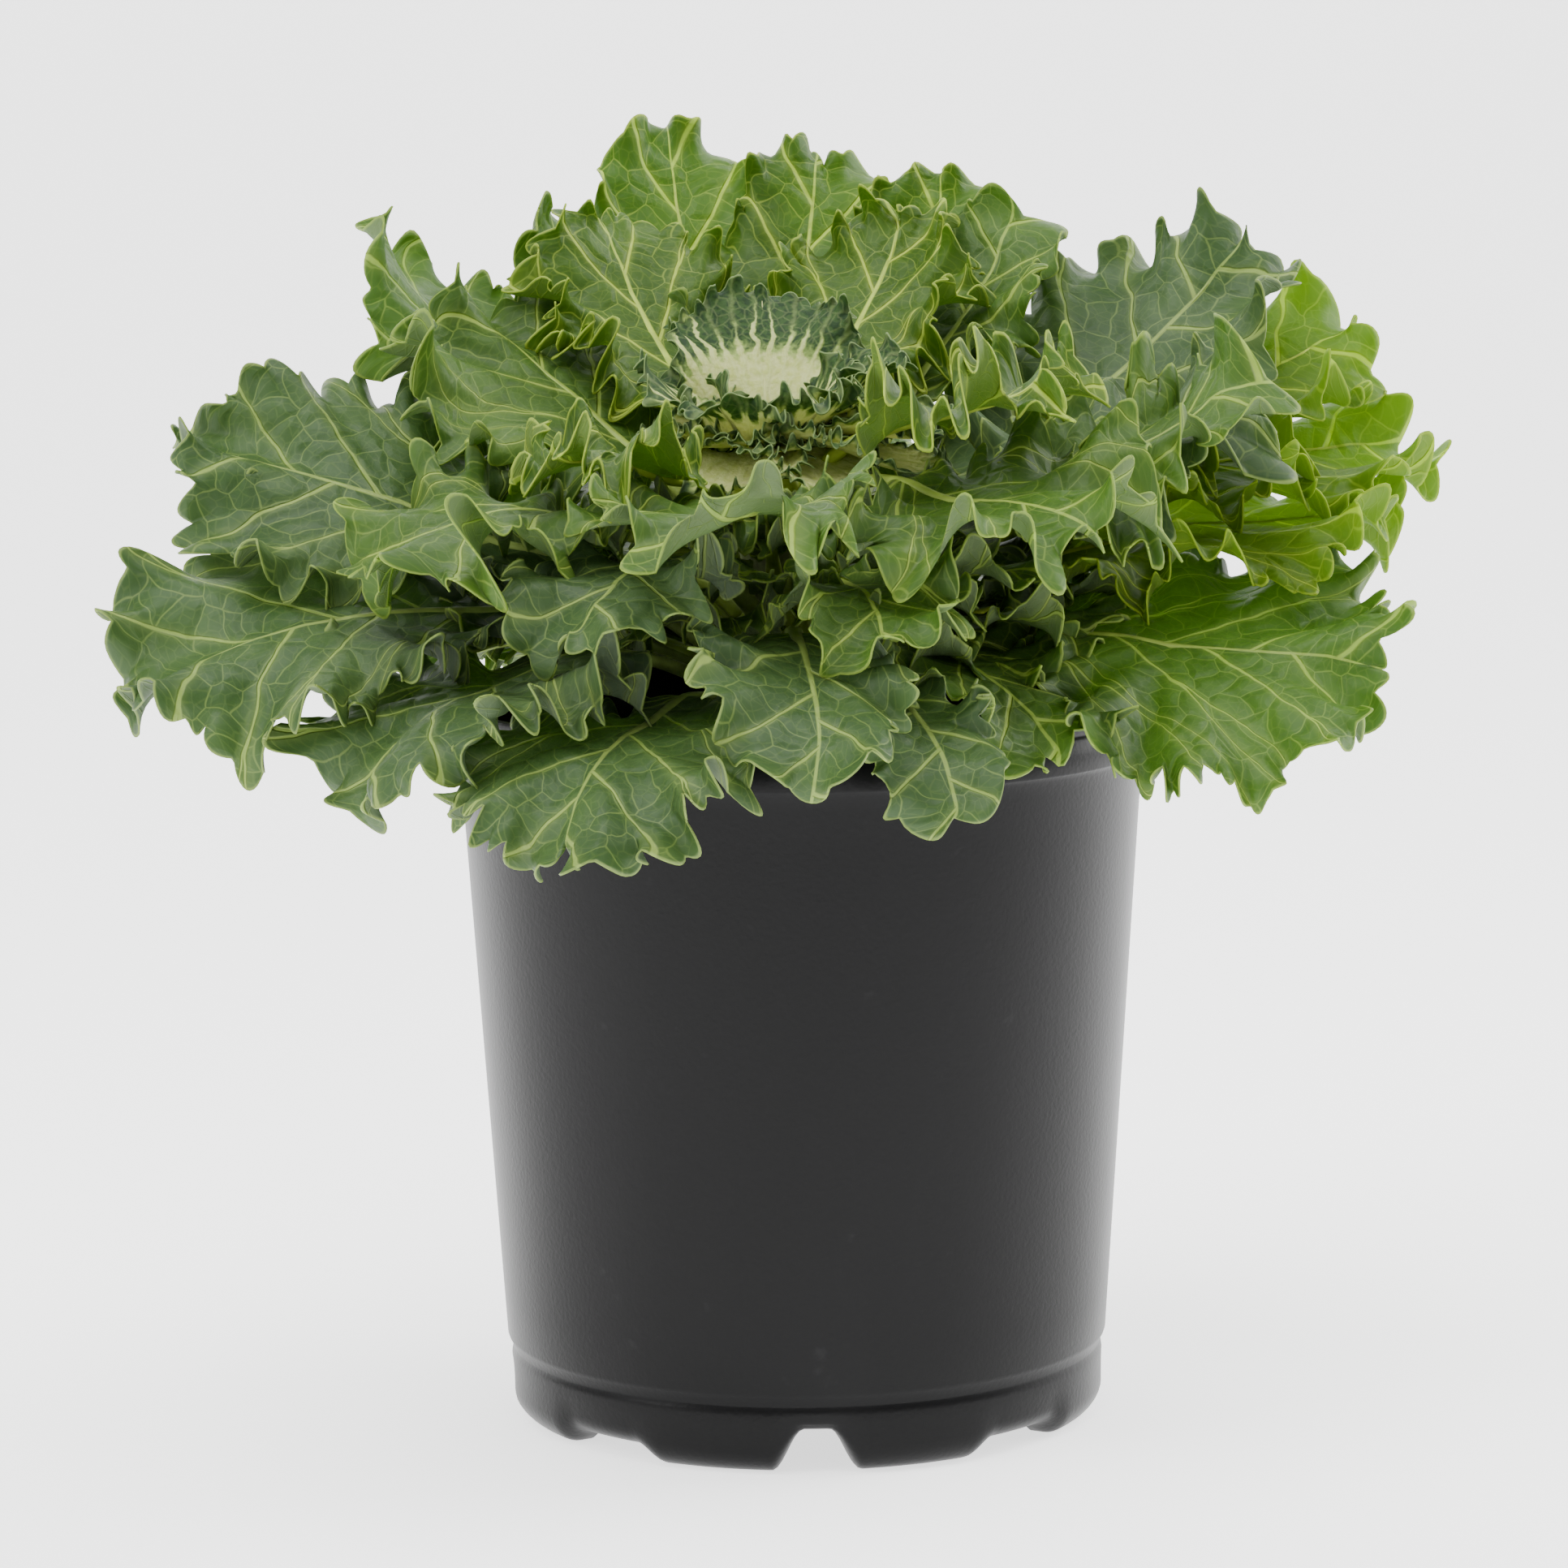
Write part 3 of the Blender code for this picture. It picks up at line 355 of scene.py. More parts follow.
def crumbMaterial(kind):
    skin = Skin(kind)
    tone = skin.noise(skin.where(), 340.0, 5.0)
    colour = skin.mix(tone.above(0.32, 0.7), *soil[kind])
    return skin.finish(skin.shine(colour, 0.88, skin.bump(tone, 0.0006), 0.3))


def soilHeight(x, y):
    lump = np.sin(310 * x + 1.3) * np.cos(270 * y - 0.7) + 0.6 * np.sin(520 * y + 400 * x)
    return soil["z"] + soil["lump"] * lump


def grain(x, y):
    # A rough surface from many crossing ripples
    draw = np.random.default_rng(soil["seed"])
    total = np.zeros_like(x)
    for _ in range(soil["ripples"]):
        turn = draw.uniform(0, fullTurn)
        pitch = fullTurn / draw.uniform(*soil["rippleSize"])
        total += np.sin(pitch * (x * math.cos(turn) + y * math.sin(turn)) + draw.uniform(0, 6.28))
    return total / math.sqrt(soil["ripples"])


def makeSoil():
    steps, rings, level = soil["steps"], soil["rings"], soil["z"]
    fit = pot["wall"] + fitGap
    wallR = wallRadius(level) - fit
    hole = stalk["radius"] + 0.0004
    turn = turnsOf(steps)
    verts = []
    for r in np.linspace(hole, wallR, rings):
        x, y = r * np.cos(turn), r * np.sin(turn)
        calm = min(1.0, (wallR - r) / soil["calmEdge"])
        z = soilHeight(x, y) * calm + level * (1 - calm) + soil["grain"] * grain(x, y) * calm
        verts += list(zip(x, y, z))
    floor, footZ = pot["floorZ"] + fitGap, soil["footZ"]
    below = ((pot["wallFootRadius"] - fit, pot["wallFootZ"]), (pot["grooveRadius"] - fit, floor),
             (0.02, floor), (0.02, footZ), (hole, footZ + 0.002))
    for r, z in below:
        verts += list(zip(r * np.cos(turn), r * np.sin(turn), np.full(steps, z)))
    faces = ringFaces(rings + len(below), steps, closed=True, inward=True)
    mesh = newMesh("loose_soil", verts, faces, soilMaterial())
    place(newObject("loose_soil", mesh), "potting_soil", "potting_soil")


def makeCrumbs(kind, count, seed):
    # Bark chips and perlite: small uneven lumps half sunk in the soil
    draw = np.random.default_rng(seed)
    bm = bmesh.new()
    reach = wallRadius(soil["z"]) - soil["rimGap"]
    flat = soil[kind + "Flat"]
    for _ in range(count):
        r = math.sqrt(draw.uniform(0.03, 1.0)) * reach
        turn = draw.uniform(0, fullTurn)
        x, y = r * math.cos(turn), r * math.sin(turn)
        size = draw.uniform(*soil[kind + "Size"])
        made = bmesh.ops.create_icosphere(bm, subdivisions=1, radius=size)["verts"]
        squash = Vector((draw.uniform(0.7, 1.3), draw.uniform(0.6, 1.1), flat * draw.uniform(0.5, 0.9)))
        for vert in made:
            vert.co = Vector(c * k * draw.uniform(0.8, 1.15) for c, k in zip(vert.co, squash))
        spin = Matrix.Rotation(draw.uniform(0, 6.28), 4, Vector(draw.uniform(-1, 1, 3)).normalized())
        lift = float(soilHeight(np.array(x), np.array(y))) + soil["lifted"] * size
        bmesh.ops.transform(bm, matrix=Matrix.Translation((x, y, lift)) @ spin, verts=made)
    mesh = bpy.data.meshes.new(kind + "_crumbs")
    bm.to_mesh(mesh)
    bm.free()
    mesh.materials.append(crumbMaterial(kind))
    place(newObject(kind + "_crumbs", mesh), "potting_soil")


# Stalk

stalk = dict(
    radius=0.01, neckRadius=0.0085, footZ=0.1303, topZ=0.22, lean=(-0.1, -0.2), sides=40, rows=46,
    scars=0.0005, greens=((0.3, 0.36, 0.15), (0.2, 0.22, 0.1)), streaks=(420.0, 420.0, 60.0),
)
stalkSlant = math.sqrt(1 + Vector(stalk["lean"]).length_squared)


def stalkCentre(z):
    rise = max(z - soil["z"], 0.0)
    return np.array((stalk["lean"][0] * rise, stalk["lean"][1] * rise, z))


def stalkRadius(z):
    share = min(max((z - soil["z"]) / (stalk["topZ"] - soil["z"]), 0.0), 1.0)
    return stalk["radius"] + share * (stalk["neckRadius"] - stalk["radius"])


def stalkMaterial():
    skin = Skin("stalk skin")
    streak = skin.noise(skin.stretched(stalk["streaks"]), 1.0, 4.0)
    colour = skin.mix(streak.above(0.35, 0.68), *stalk["greens"])
    return skin.finish(skin.shine(colour, 0.62, skin.bump(streak, 0.0006)))


def makeStalk():
    # A short stout stalk, with the scars of lost leaves as low ridges
    sides, rows = stalk["sides"], stalk["rows"]
    turn = turnsOf(sides)
    verts = []
    for z in np.linspace(stalk["footZ"], stalk["topZ"] - 0.0002, rows):
        centre = stalkCentre(z)
        ridge = np.sin(z * 1150 + 2.4 * np.sin(turn)) * 0.5 + 0.5 * np.sin(5 * turn + z * 300)
        inside = z < soil["z"] + 0.002
        r = stalkRadius(z) - (0.0002 if inside else stalk["scars"] * (0.7 + 0.5 * ridge) * 0.6)
        verts += list(zip(centre[0] + r * np.cos(turn), centre[1] + r * np.sin(turn), np.full(sides, z)))
    mesh = newMesh("scarred_stalk", verts, ringFaces(rows, sides), stalkMaterial())
    place(newObject("scarred_stalk", mesh), "stalk_green", "stalk")


# Leaf surfaces: these rules are the frame's own, so every fine leaf lies where its solid lies

leafForm = dict(
    petioleThick=0.0038, petioleHalf=0.0031, petioleRows=3, petioleFree=0.6, marginFree=0.8, held=0.05,
    hubShare=0.42, ringShares=(0.36, 0.68, 0.87, 1.0), tooth=0.045, lobe=0.05, lobeRange=(4, 7), fan=0.16,
    warp=(0.1, 0.09, 0.06), swell=(0.22, 0.18), calm=(0.25, 1.0), waveStart=0.28, waveRise=1.6,
    bow=0.38, curveSteps=40, seatLowZ=0.162, seatTurn=44, seatRoom=0.001,
)
leafRoom = dict(
    clearance=0.0036, search=0.022, pushLimit=0.0015, sideSlope=1.6, sideRoom=0.0012, rounds=90,
    fineRounds=30, ease=0.15, rimClearance=0.003, rimShoulder=0.01, outerSlope=1.6, innerSlope=0.9,
    rimPush=0.6,
)

Leaf = namedtuple("Leaf", "name azimuth reach height rise fall stem width cup waves frill roll sweep")


def leafOf(name, azimuth, reach, height, rise, fall, stem, width, cup, waves, frill, roll=0, sweep=0):
    # The tables give lengths in millimetres and angles in degrees
    return Leaf(name, azimuth, reach / 1000, height / 1000, rise, fall, stem, width / 1000, cup, waves,
                frill / 1000, roll, sweep)


# From the lowest leaf on the stalk to the highest
leaves = [leafOf(*row) for row in (
    ("back_leaf_1", 55, 142, 178, 30, -50, 0.34, 92, 10, 7, 8),
    ("back_leaf_2", 98, 132, 180, 34, -48, 0.34, 94, 10, 7, 8),
    ("back_leaf_3", 141, 142, 176, 32, -52, 0.34, 90, 10, 7, 8),
    ("apron_leaf_left", -113, 136, 148, 36, -75, 0.42, 78, 10, 8, 5.5),
    ("drooping_leaf_left", -139, 130, 157, 42, -72, 0.38, 84, 5, 8, 7),
    ("drooping_leaf_right", -18, 144, 184, 38, -22, 0.34, 110, -15, 9, 7, 40, 14),
    ("apron_leaf_small", -72, 116, 153, 44, -75, 0.5, 28, 20, 5, 5.5),
    ("spread_leaf_left", -162, 163, 179, 36, -34, 0.36, 84, 5, 8, 8.5, -34),
    ("spread_leaf_right", 8, 148, 210, 36, -12, 0.34, 84, 15, 7, 8, 20),
    ("apron_leaf_middle", -91, 120, 160, 48, -66, 0.44, 46, 20, 6, 7.5),
    ("back_leaf_4", 74, 122, 226, 42, -5, 0.36, 84, 15, 6, 8),
    ("back_leaf_5", 120, 126, 230, 42, 0, 0.36, 84, 15, 6, 8),
    ("side_leaf_left", 179, 148, 232, 40, 22, 0.34, 76, 20, 8, 7, -48),
    ("side_leaf_right", 21, 165, 224, 42, 4, 0.36, 80, 15, 8, 8, 25),
    ("upper_leaf_right", 26, 156, 256, 46, 30, 0.36, 68, 25, 7, 7.5, 20),
    ("rear_leaf_left", 155, 112, 289, 48, 55, 0.38, 50, 25, 6, 7),
    ("rear_leaf_middle_left", 107, 106, 313, 50, 64, 0.36, 50, 25, 6, 6),
    ("rear_leaf_small_left", 132, 94, 291, 52, 64, 0.4, 38, 25, 5, 6),
    ("rear_leaf_middle_right", 87, 94, 303, 52, 66, 0.38, 46, 25, 6, 6),
    ("tall_leaf_right", 29, 126, 282, 52, 48, 0.34, 74, 30, 8, 7, 15),
    ("side_leaf_inner_right", 1, 106, 256, 54, 40, 0.36, 58, 25, 6, 8.5),
    ("fan_leaf_small", 66, 88, 297, 54, 68, 0.38, 42, 25, 5, 6),
    ("rear_leaf_right", 46, 86, 284, 54, 64, 0.4, 42, 25, 5, 6.5),
    ("front_leaf_low", -78, 100, 184, 52, -65, 0.42, 44, 20, 5, 7),
    ("front_leaf_left", -117, 110, 190, 54, -64, 0.4, 46, 20, 6, 7.5),
    ("front_leaf_outer_left", -147, 116, 202, 54, -62, 0.36, 68, 15, 7, 8.5),
    ("front_leaf_right", -20, 122, 236, 52, 45, 0.36, 62, 25, 7, 8, 10),
    ("front_leaf_wide_right", -52, 112, 218, 54, 10, 0.36, 74, 20, 7, 9),
    ("front_leaf_middle", -104, 104, 222, 54, 38, 0.36, 60, 25, 6, 9),
    ("tall_leaf_left", 156, 95, 260, 54, 45, 0.28, 90, 30, 8, 7, -12),
    ("inner_leaf_left", -134, 84, 230, 56, 34, 0.36, 56, 25, 6, 8),
    ("fan_leaf_left", 130, 78, 288, 60, 66, 0.3, 56, 35, 7, 6),
    ("fan_leaf_right", 66, 70, 286, 60, 68, 0.3, 56, 35, 7, 6),
    ("inner_leaf_right", -46, 84, 252, 58, 36, 0.36, 68, 30, 7, 8.5),
)]
heartLeaves = [leafOf(*row) for row in (
    ("heart_leaf_back", 112, 22, 268, 74, 50, 0.16, 48, 50, 5, 3),
    ("heart_leaf_right", -8, 26, 254, 56, 25, 0.2, 32, 50, 4, 3),
    ("heart_leaf_left", -172, 38, 250, 52, 20, 0.2, 32, 50, 4, 3),
    ("heart_leaf_front_right", -74, 36, 246, 60, 20, 0.24, 28, 50, 4, 3),
    ("heart_leaf_front_left", -118, 42, 244, 56, 15, 0.24, 30, 50, 4, 3),
    ("heart_bud_right", -40, 16, 254, 76, 60, 0.15, 22, 60, 3, 2.2),
    ("heart_bud_left", -150, 24, 250, 76, 60, 0.15, 22, 60, 3, 2.2),
)]


def seatHeights(rows):
    seats = []
    for leaf in rows:
        height = leafForm["seatLowZ"]
        room = (leafForm["petioleThick"] + leafForm["seatRoom"]) / math.cos(math.radians(leaf.rise))
        for other, taken in zip(rows, seats):
            apart = abs((leaf.azimuth - other.azimuth + 180) % 360 - 180)
            if apart < leafForm["seatTurn"]:
                height = max(height, taken + room)
        seats.append(height)
    return seats


class Blade:
    # A midrib curve with its side and upper directions, and a waved outline round the hub
    def __init__(self, leaf, seed, root, seatRadius=None):
        self.leaf = leaf
        self.seed = seed
        draw = np.random.default_rng(seed)
        self.warp = draw.uniform(-1, 1, 3) * leafForm["warp"]
        self.swell = draw.uniform(0, fullTurn, 3)
        self.lobes = int(draw.integers(*leafForm["lobeRange"]))
        centre = stalkCentre(root)
        tip = heading(leaf.azimuth) * leaf.reach
        tip[2] = leaf.height
        out = tip - centre
        course = math.degrees(math.atan2(out[1], out[0]))
        start, end = course - leaf.sweep, course + leaf.sweep
        if seatRadius is None:
            lean = 0.5 * leafForm["petioleThick"] * math.sin(math.radians(leaf.rise))
            seatRadius = stalkSlant * stalkRadius(root) + fitGap + lean
        foot = centre + heading(start) * seatRadius
        span = leafForm["bow"] * np.linalg.norm(tip - foot)
        points = (foot, foot + heading(start, leaf.rise) * span, tip - heading(end, leaf.fall) * span, tip)
        u = np.linspace(0.0, 1.0, leafForm["curveSteps"] + 1)[:, None]
        weights = ((1 - u) ** 3, 3 * u * (1 - u) ** 2, 3 * u ** 2 * (1 - u), u ** 3)
        self.line = sum(w * p for w, p in zip(weights, points))
        along = unit(np.gradient(self.line, axis=0))
        turn = np.radians(start + (end - start) * u[:, 0] + 90)
        side = squareTo(np.stack((np.cos(turn), np.sin(turn), np.zeros_like(turn)), axis=1), along)
        up = np.cross(along, side)
        roll = np.radians(leaf.roll) * smooth(u / max(leaf.stem, 0.2))
        self.side = side * np.cos(roll) + up * np.sin(roll)
        self.up = up * np.cos(roll) - side * np.sin(roll)
        self.arc = arcOf(self.line)
        self.length = self.arc[-1]
        self.end = along[-1]
        self.stem = leaf.stem * self.length
        self.blade = self.length - self.stem
        self.hub = self.stem + leafForm["hubShare"] * self.blade
        self.curl = math.radians(leaf.cup) / leaf.width

    def bent(self, a, b, lift):
        line, side, up = (alongCurve(a, self.arc, rows) for rows in (self.line, self.side, self.up))
        past = np.maximum(a - self.length, 0.0)[..., None] * self.end
        turn = (self.curl * b)[..., None]
        across = (b * np.sinc(self.curl * b / math.pi))[..., None]
        rise = (0.5 * self.curl * b * b * np.sinc(self.curl * b / fullTurn) ** 2)[..., None]
        normal = up * np.cos(turn) - side * np.sin(turn)
        return line + past + side * across + up * rise + normal * lift[..., None]

    def calm(self, s):
        # 0 where the petiole joins the blade, 1 away from it
        away = np.abs(s % fullTurn - math.pi)
        return smooth(risen(away, *leafForm["calm"]))

    def turned(self, s):
        fromStem = s - math.pi
        w1, w2, w3 = self.warp
        return s + w1 * np.sin(2 * fromStem) + w2 * np.sin(3 * fromStem) + w3 * np.sin(fromStem)

    def reach(self, turn):
        ahead = np.where(np.cos(turn) > 0, 1 - leafForm["hubShare"], leafForm["hubShare"]) * self.blade
        half = 0.5 * self.leaf.width
        return 1 / np.sqrt((np.cos(turn) / ahead) ** 2 + (np.sin(turn) / half) ** 2)

    def cut(self, s):
        teeth = leafForm["tooth"] * np.cos(2 * self.leaf.waves * s)
        return leafForm["lobe"] * np.cos(self.lobes * s + self.swell[0]) - teeth

    def wave(self, s, t):
        first, second = leafForm["swell"]
        size = 1 + first * np.sin(2 * s + self.swell[1]) + second * np.sin(3 * s + self.swell[2])
        rise = risen(t, leafForm["waveStart"]) ** leafForm["waveRise"]
        return self.leaf.frill * size * self.calm(s) * rise * np.sin(self.leaf.waves * s)

    def spot(self, out, turn):
        # Where on the flat plan a place lies: along the midrib and across it
        return self.hub + out * np.cos(turn), out * np.sin(turn) * (1 + leafForm["fan"] * np.cos(turn))

    def flat(self, s, t):
        turn = self.turned(s)
        reach = self.reach(turn) * (1 + self.calm(s) * t ** 3 * self.cut(s))
        return *self.spot(t * reach, turn), self.wave(s, t)

    def surface(self, s, t):
        return self.bent(*self.flat(np.asarray(s, float), np.asarray(t, float)))


def ringTurns(waves, ring):
    return (turnsOf(waves, 0.5), turnsOf(2 * waves, 0.5), turnsOf(4 * waves))[min(ring, 2)]


def stitch(inner, outer):
    # Triangles between two closed rings of (turn, index), the inner with no more points than the outer
    faces = []
    i = j = 0
    while i < len(inner) or j < len(outer):
        nextIn = inner[(i + 1) % len(inner)][0] + fullTurn * ((i + 1) // len(inner))
        nextOut = outer[(j + 1) % len(outer)][0] + fullTurn * ((j + 1) // len(outer))
        here = (inner[i % len(inner)][1], outer[j % len(outer)][1])
        if j < len(outer) and (i >= len(inner) or nextOut - 1e-9 <= nextIn):
            j += 1
            faces.append((*here, outer[j % len(outer)][1]))
        else:
            i += 1
            faces.append((*here, inner[i % len(inner)][1]))
    return faces


class Sheet:
    # The coarse middle surface of a leaf, which is bent clear of the others
    def __init__(self, blade):
        waves = blade.leaf.waves
        self.blade = blade
        points = [blade.surface(0.0, 0.0)]
        self.free = [1.0]
        self.rings = []
        for ring, share in enumerate(leafForm["ringShares"]):
            turns = ringTurns(waves, ring)
            self.rings.append([(turn, len(points) + k) for k, turn in enumerate(turns)])
            points += list(blade.surface(turns, np.full(len(turns), share)))
            self.free += [1.0] * len(turns)
        first = self.rings[0]
        self.faces = [(0, first[k][1], first[(k + 1) % len(first)][1]) for k in range(len(first))]
        for inner, outer in zip(self.rings, self.rings[1:]):
            self.faces += stitch(inner, outer)
        self.addPetiole(points, self.rings[-1], waves)
        self.points = np.array(points)
        self.rest = self.points.copy()
        self.free = np.array(self.free)
        self.samples = [(i,) for i in range(len(points))] + list(self.faces)
        self.sample()

    def sample(self):
        middles = self.points[np.array(self.faces)].mean(axis=1)
        self.sampled = np.concatenate((self.points, middles))

    def bend(self):
        return self.points - self.rest

    def addPetiole(self, points, margin, waves):
        blade = self.blade
        joined = [margin[2 * waves + k] for k in (-1, 0, 1)]
        row = [index for _, index in joined]
        a, b, _ = blade.flat(np.array([turn for turn, _ in joined]), np.ones(3))
        self.top = float(a[1])
        wing = 0.5 * float(abs(b[0]) + abs(b[2]))
        thin = leafForm["petioleHalf"]
        self.petiole = [row[1]]
        for index in row:
            self.free[index] = leafForm["marginFree"]
        for step in range(1, leafForm["petioleRows"] + 1):
            share = step / leafForm["petioleRows"]
            at = self.top * (1 - share)
            half = thin + (wing - thin) * (1 - share) ** 2
            lower = []
            for side in (1, 0, -1):
                lower.append(len(points))
                points.append(blade.bent(np.array(at), np.array(side * half), np.array(0.0)))
                self.free.append(float(smooth(at / (0.9 * self.top)) * leafForm["petioleFree"]))
            self.faces += [(row[0], lower[0], lower[1]), (row[0], lower[1], row[1])]
            self.faces += [(row[1], lower[1], row[2]), (lower[1], lower[2], row[2])]
            self.petiole.append(lower[1])
            row = lower

    def tree(self):
        return BVHTree.FromPolygons(self.points.tolist(), self.faces)

    def links(self):
        pairs = sorted({(min(e), max(e)) for a, b, c in self.faces for e in ((a, b), (b, c), (a, c))})
        one, other = np.array(pairs).T
        return np.concatenate((one, other)), np.concatenate((other, one))


def pushPair(low, high, lowTree, highTree, moves):
    # Ask for moves that put near places of the high sheet above the low one, and the other way round
    clearance = leafRoom["clearance"]
    search = leafRoom["search"]
    pairs = ((high, low, lowTree, 1, 1, 0), (low, high, highTree, -1, 0, 1))
    for one, other, tree, sign, who, whom in pairs:
        boxLow = other.points.min(0) - search
        boxHigh = other.points.max(0) + search
        inside = np.all((one.sampled > boxLow) & (one.sampled < boxHigh), axis=1)
        for index in np.nonzero(inside)[0]:
            at = Vector(one.sampled[index])
            spot, normal, face, far = tree.find_nearest(at, search)
            if spot is None:
                continue
            height = (at - spot).dot(normal) * sign
            if height >= clearance or far > leafRoom["sideSlope"] * abs(height) + leafRoom["sideRoom"]:
                continue
            push = np.array(normal) * sign * min(0.5 * (clearance - height), leafRoom["pushLimit"])
            for corner in one.samples[index]:
                moves[who][corner] += push
                moves[who + 2][corner] += 1
            for corner in other.faces[face]:
                moves[whom][corner] -= push * 0.5
                moves[whom + 2][corner] += 0.5


def spread(field, links, rounds, share=0.5):
    source, target = links
    count = np.bincount(target, minlength=len(field))[:, None]
    for _ in range(rounds):
        total = np.zeros_like(field)
        np.add.at(total, target, field[source])
        field = (1 - share) * field + share * total / np.maximum(count, 1)
    return field


def clearOfPot(sheet):
    # Lift points off the soil and over the rim, and hold them off the stalk
    points = sheet.points
    loose = sheet.free > leafForm["held"]
    radius = np.hypot(points[:, 0], points[:, 1])
    over = pot["height"] + leafRoom["rimClearance"]
    beside = np.maximum(np.abs(radius - pot["rimRadius"]) - leafRoom["rimShoulder"], 0.0)
    outside = radius > pot["rimRadius"]
    least = over - beside * np.where(outside, leafRoom["outerSlope"], leafRoom["innerSlope"])
    overSoil = soil["z"] + 2 * soil["lump"] + leafRoom["rimClearance"]
    least = np.where(radius < pot["rimRadius"], np.maximum(least, overSoil), least)
    low = loose & (points[:, 2] < least)
    points[low, 2] += leafRoom["rimPush"] * (least - points[:, 2])[low]
    for index in np.nonzero(loose & (points[:, 2] < stalk["topZ"] + leafRoom["clearance"]))[0]:
        centre = stalkCentre(points[index, 2])[:2]
        away = points[index, :2] - centre
        far = np.hypot(*away)
        room = stalkSlant * stalkRadius(points[index, 2]) + 0.5 * leafForm["petioleThick"] + fitGap
        if far < room:
            points[index, :2] = centre + away * (room / far)


def farApart(low, high):
    return np.any(low.points.min(0) > high.points.max(0) + leafRoom["clearance"])


def clearLeaves(sheets):
    links = [sheet.links() for sheet in sheets]
    for number in range(leafRoom["rounds"]):
        trees = [sheet.tree() for sheet in sheets]
        moves = [np.zeros_like(sheet.points) for sheet in sheets]
        counts = [np.zeros(len(sheet.points)) for sheet in sheets]
        for i, low in enumerate(sheets):
            for j, high in enumerate(sheets[i + 1:], i + 1):
                if not farApart(low, high) and not farApart(high, low):
                    pushPair(low, high, trees[i], trees[j], (moves[i], moves[j], counts[i], counts[j]))
        last = number >= leafRoom["rounds"] - leafRoom["fineRounds"]
        for sheet, move, count, link in zip(sheets, moves, counts, links):
            field = spread(move / np.maximum(count, 1)[:, None], link, 1 if last else 2)
            sheet.points += field * sheet.free[:, None]
            if not last:
                eased = spread(sheet.bend(), link, 1, leafRoom["ease"])
                sheet.points = sheet.rest + eased * (sheet.free > 0)[:, None]
            clearOfPot(sheet)
            sheet.sample()


# Fine leaves

ruffle = dict(
    spokeGap=0.00054, innerRings=3, middleRings=5, outerRings=5, outerShare=1.3, outerCrowd=1.25,
    seed=4000, outlineSteps=180, fringe=0.0125, fringeShare=0.21, most=1.2, fold=1.0, foldRise=1.15,
    foldPitch=0.0132, foldLean=0.26, curl=1.05, curlWidth=0.46, curlLean=-0.1, stretch=1.8, waveLean=0.16,
    scallop=0.6, uneven=(0.36, 0.28), lobePitch=0.0054, lobeDepth=0.0044, notchPitch=0.03,
    notchDepth=0.0065, toothPitch=0.0095, toothDepth=0.0014, blister=0.00045, blisterSize=0.0125,
    thick=0.00075, thickMargin=0.00045,
)
backRuffle = dict(ruffle, spokeGap=0.00075, fringe=0.015, foldPitch=0.02, lobePitch=0.0064)
fanRuffle = dict(ruffle, spokeGap=0.00046, fringe=0.0105, fold=1.15, foldPitch=0.0088, lobePitch=0.0036,
                 lobeDepth=0.003)
leafletRuffle = dict(ruffle, spokeGap=0.00082, innerRings=2, middleRings=4, outerRings=4, fringe=0.0095,
                     curlWidth=0.5, foldPitch=0.012, lobePitch=0.0052)
heartRuffle = dict(ruffle, spokeGap=0.00037, middleRings=4, outerRings=6, fringe=0.0048, fold=0.9,
                   foldPitch=0.0056, curl=1.25, curlWidth=0.6, scallop=0.5, lobePitch=0.0026,
                   lobeDepth=0.0017, most=1.5, notchPitch=0.008, notchDepth=0.001, toothPitch=0.0044,
                   toothDepth=0.0008, blister=0.0001, thick=0.0006, thickMargin=0.0003)
curlRuffle = dict(heartRuffle, spokeGap=0.00043, innerRings=2, outerRings=5, fringe=0.0038,
                  foldPitch=0.0044)
ribForm = dict(
    sides=10, rows=40, stemSteps=13, short=6, flare=0.12, sunk=0.35,
    wide=(0.0029, 0.0027, 0.0019, 0.0003), tall=(0.0019, 0.0018, 0.0014, 0.00035),
)


def ringBend(bend, turns, offset):
    # Catmull-Rom round one closed ring of the coarse sheet
    count = len(bend)
    at = turns / fullTurn * count - offset
    start = np.floor(at).astype(int)
    f = (at - start)[:, None]
    p0, p1, p2, p3 = (bend[(start + k) % count] for k in (-1, 0, 1, 2))
    return 0.5 * (2 * p1 + (p2 - p0) * f + (2 * p0 - 5 * p1 + 4 * p2 - p3) * f ** 2
                  + (3 * p1 - p0 - 3 * p2 + p3) * f ** 3)


def bendField(sheet, turns, shares):
    # How far the coarse sheet was bent, at every fine turn and share: an array (shares, turns, 3)
    bend = sheet.bend()
    rows = [np.tile(bend[0], (len(turns), 1))]
    for ring, members in enumerate(sheet.rings):
        first = members[0][1]
        rows.append(ringBend(bend[first:first + len(members)], turns, 0.5 if ring < 2 else 0.0))
    rows = np.array(rows)
    knots = np.array((0.0, *leafForm["ringShares"]))
    slopes = np.empty_like(rows)
    slopes[1:-1] = (rows[2:] - rows[:-2]) / (knots[2:] - knots[:-2])[:, None, None]
    slopes[0] = (rows[1] - rows[0]) / (knots[1] - knots[0])
    slopes[-1] = (rows[-1] - rows[-2]) / (knots[-1] - knots[-2])
    field = []
    for share in shares:
        k = min(int(np.searchsorted(knots, share, side="right")) - 1, len(knots) - 2)
        wide = knots[k + 1] - knots[k]
        x = (share - knots[k]) / wide
        field.append((2 * x ** 3 - 3 * x ** 2 + 1) * rows[k] + (x ** 3 - 2 * x ** 2 + x) * wide * slopes[k]
                     + (3 * x ** 2 - 2 * x ** 3) * rows[k + 1] + (x ** 3 - x ** 2) * wide * slopes[k + 1])
    return np.array(field)


